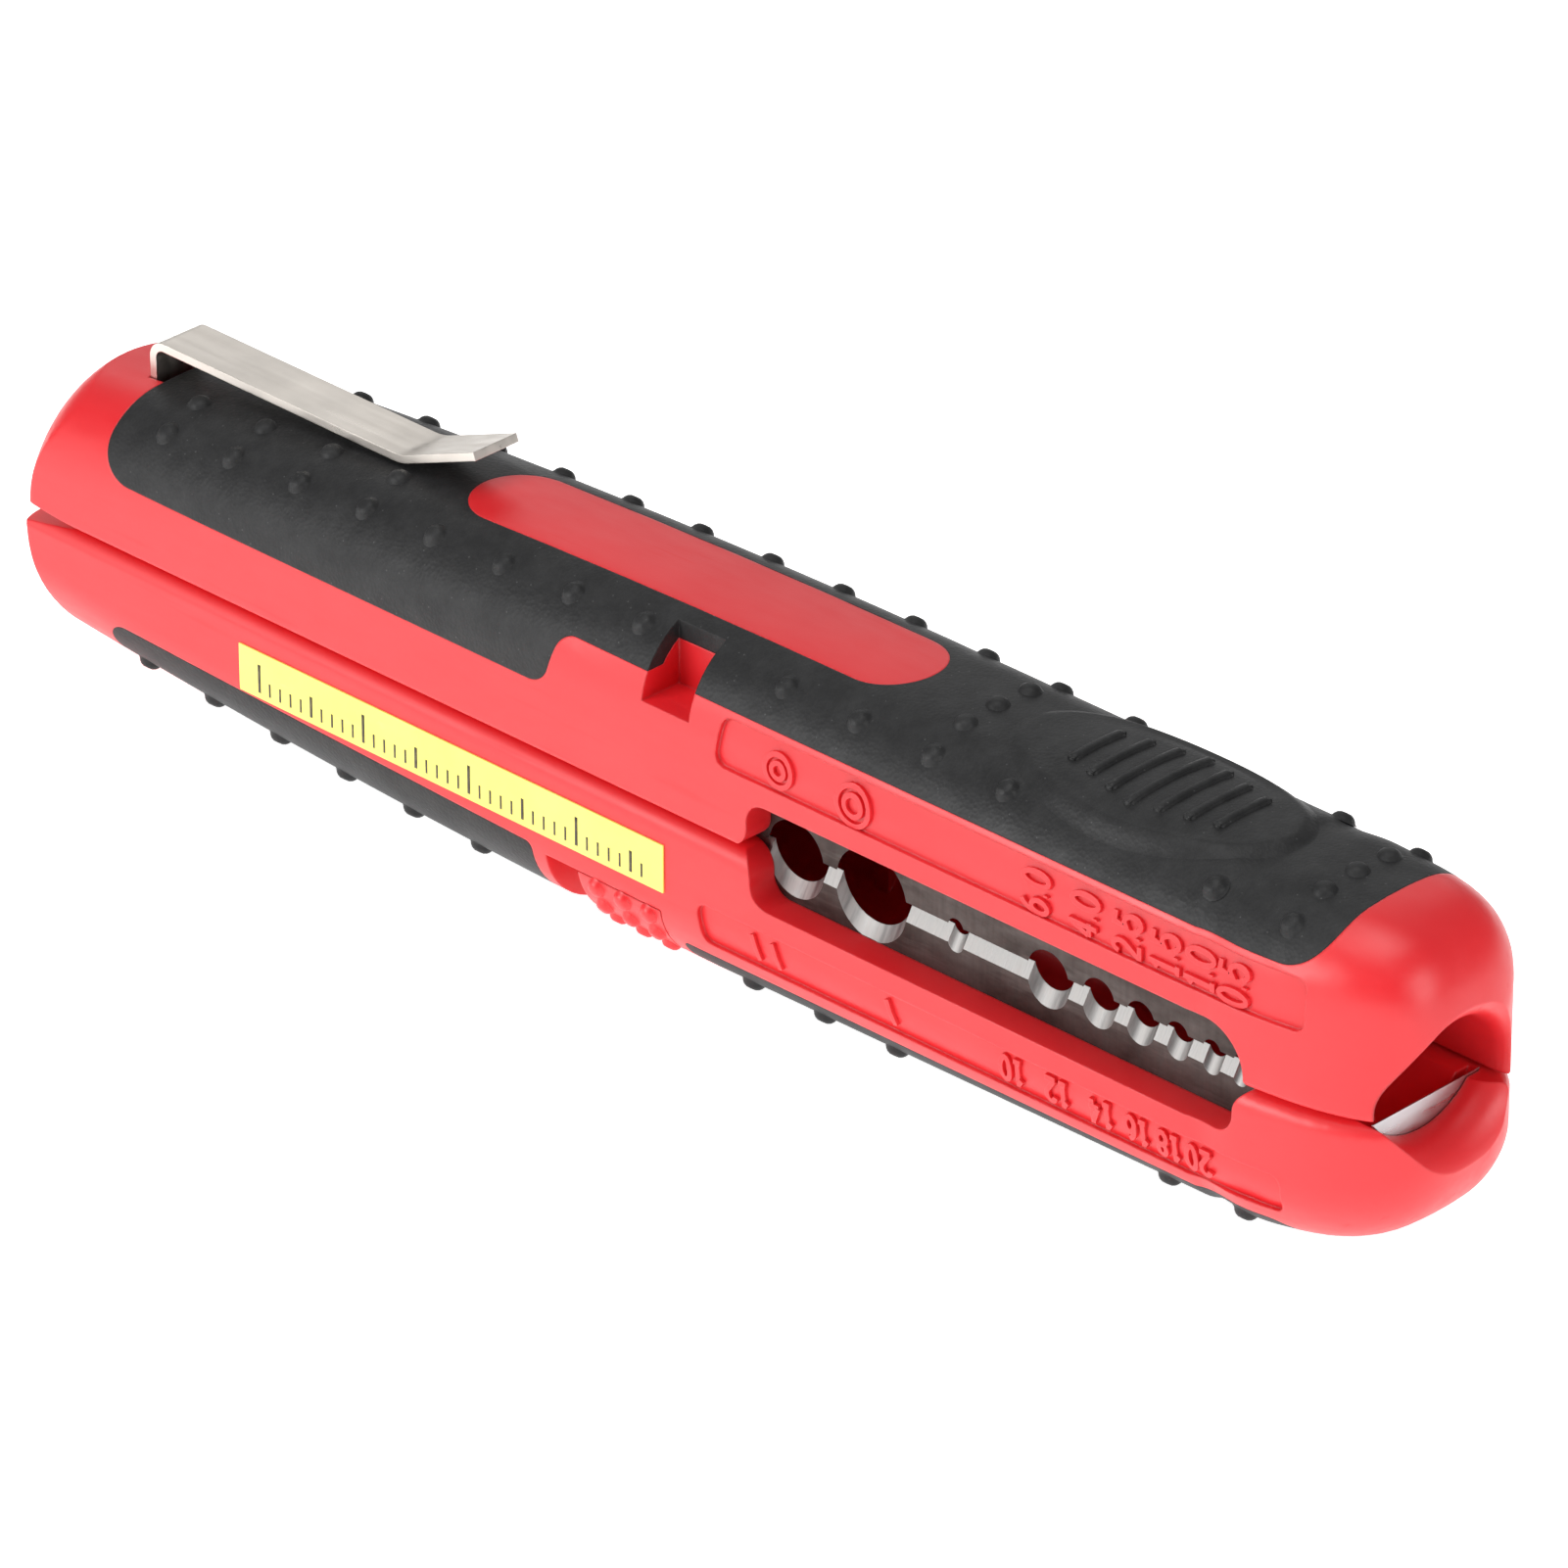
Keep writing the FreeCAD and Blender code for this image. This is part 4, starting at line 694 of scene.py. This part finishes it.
def lower_marks():
    """Numbers and plain bars of the lower field."""
    mesh = bmesh.new()
    for text, x in LOWER_NUMBERS:
        number(mesh, text, False, x, LOWER_MARK_Z, LOWER_DIGIT, LOWER_GAP)
    half_slant, half_height = BAR_SLANT / 2, LOWER_DIGIT[1] / 2
    bar = [(-half_slant, -half_height), (0, 0), (half_slant, half_height)]
    for x in BARS:
        stroke(mesh, bar, False, lambda p: (x + p.x, LOWER_MARK_Z + p.y))
    return finish_mesh("lower_field_marks", mesh, False)


def label_marks():
    """Printed scale of plain ticks along the label."""
    mesh = bmesh.new()
    for k in range(TICK_COUNT):
        x = LABEL_REAR_X + TICK_REAR_MARGIN + k
        high, half = next((high, half) for every, high, half in TICK_RANKS if k % every == 0)
        rows = []
        for j in range(TICK_PARTS + 1):
            z = LABEL_LOWER_EDGE - TICK_LOWER_MARGIN - high * j / TICK_PARTS
            ends = [flank(False, side, z, LABEL_THICKNESS + TICK_LIFT) for side in (x - half, x + half)]
            rows.append([mesh.verts.new(end) for end in ends])
        for a, b in zip(rows, rows[1:]):
            mesh.faces.new((a[0], b[0], b[1], a[1]))
    made = finish_mesh("label_scale", mesh)
    made.modifiers.new("film", "SOLIDIFY").thickness = TICK_FILM * MM
    return made


UPPER_DOMES = dome_mesh("upper_grip_bumps", upper_bumps(), BUMP_PROFILE, BUMP_SIDES)
LOWER_DOMES = dome_mesh("lower_grip_bumps", lower_bumps(), BUMP_PROFILE, BUMP_SIDES)
DOT_DOMES = dome_mesh("lock_button_dots", slider_dots(), DOT_PROFILE, DOT_SIDES)
dress(UPPER_DOMES, RUBBER, "upper_half")
dress(LOWER_DOMES, RUBBER, "lower_half")
dress(DOT_DOMES, RED, "lock")
dress(ridges(), RUBBER, "upper_half")
dress(pad_cover(), RUBBER, "upper_half")
dress(upper_marks(), RED_FINE, "upper_half")
dress(lower_marks(), RED_FINE, "lower_half")
dress(label_marks(), INK, "lower_half")


# Camera, light and floor

camera = bpy.data.objects.new("camera", bpy.data.cameras.new("camera"))
bpy.context.scene.collection.objects.link(camera)
azimuth, elevation = math.radians(VIEW_AZIMUTH), math.radians(VIEW_ELEVATION)
level = math.cos(elevation)
back = Vector((math.sin(azimuth) * level, -math.cos(azimuth) * level, math.sin(elevation)))
camera.location = VIEW_TARGET + back * VIEW_DISTANCE
camera.rotation_mode = "QUATERNION"
camera.rotation_quaternion = (-back).to_track_quat("-Z", "Y")
camera.data.lens = VIEW_LENS
camera.data.sensor_width = VIEW_SENSOR
camera.data.clip_start = VIEW_NEAREST
bpy.context.scene.camera = camera


def area_light(name, where, size, power):
    """White rectangular light that faces the middle of the view."""
    lamp = bpy.data.lights.new(name, "AREA")
    lamp.shape = "RECTANGLE"
    lamp.size, lamp.size_y = size
    lamp.energy = power
    made = bpy.data.objects.new(name, lamp)
    made.location = where
    made.rotation_mode = "QUATERNION"
    made.rotation_quaternion = (VIEW_TARGET - Vector(where)).to_track_quat("-Z", "Y")
    bpy.context.scene.collection.objects.link(made)


for name, (where, size, power) in LIGHTS.items():
    area_light(name, where, size, power)

world = bpy.data.worlds.new("studio")
world.use_nodes = True
glow = world.node_tree.nodes["Background"].inputs
glow["Color"].default_value = (1, 1, 1, 1)
glow["Strength"].default_value = GLOW
bpy.context.scene.world = world

sheet = bmesh.new()
bmesh.ops.create_grid(sheet, x_segments=1, y_segments=1, size=FLOOR_HALF_SIZE)
floor = finish_mesh("floor", sheet)
floor.location.z = -FLOOR_DROP
paper = Shader("floor_paper")
paper.base(Base_Color=(0.94, 0.94, 0.94, 1), Roughness=0.9)
paper.base(Emission_Color=(1, 1, 1, 1), Emission_Strength=0.8)
floor.data.materials.append(paper.material)
bpy.context.scene.view_settings.view_transform = "Standard"
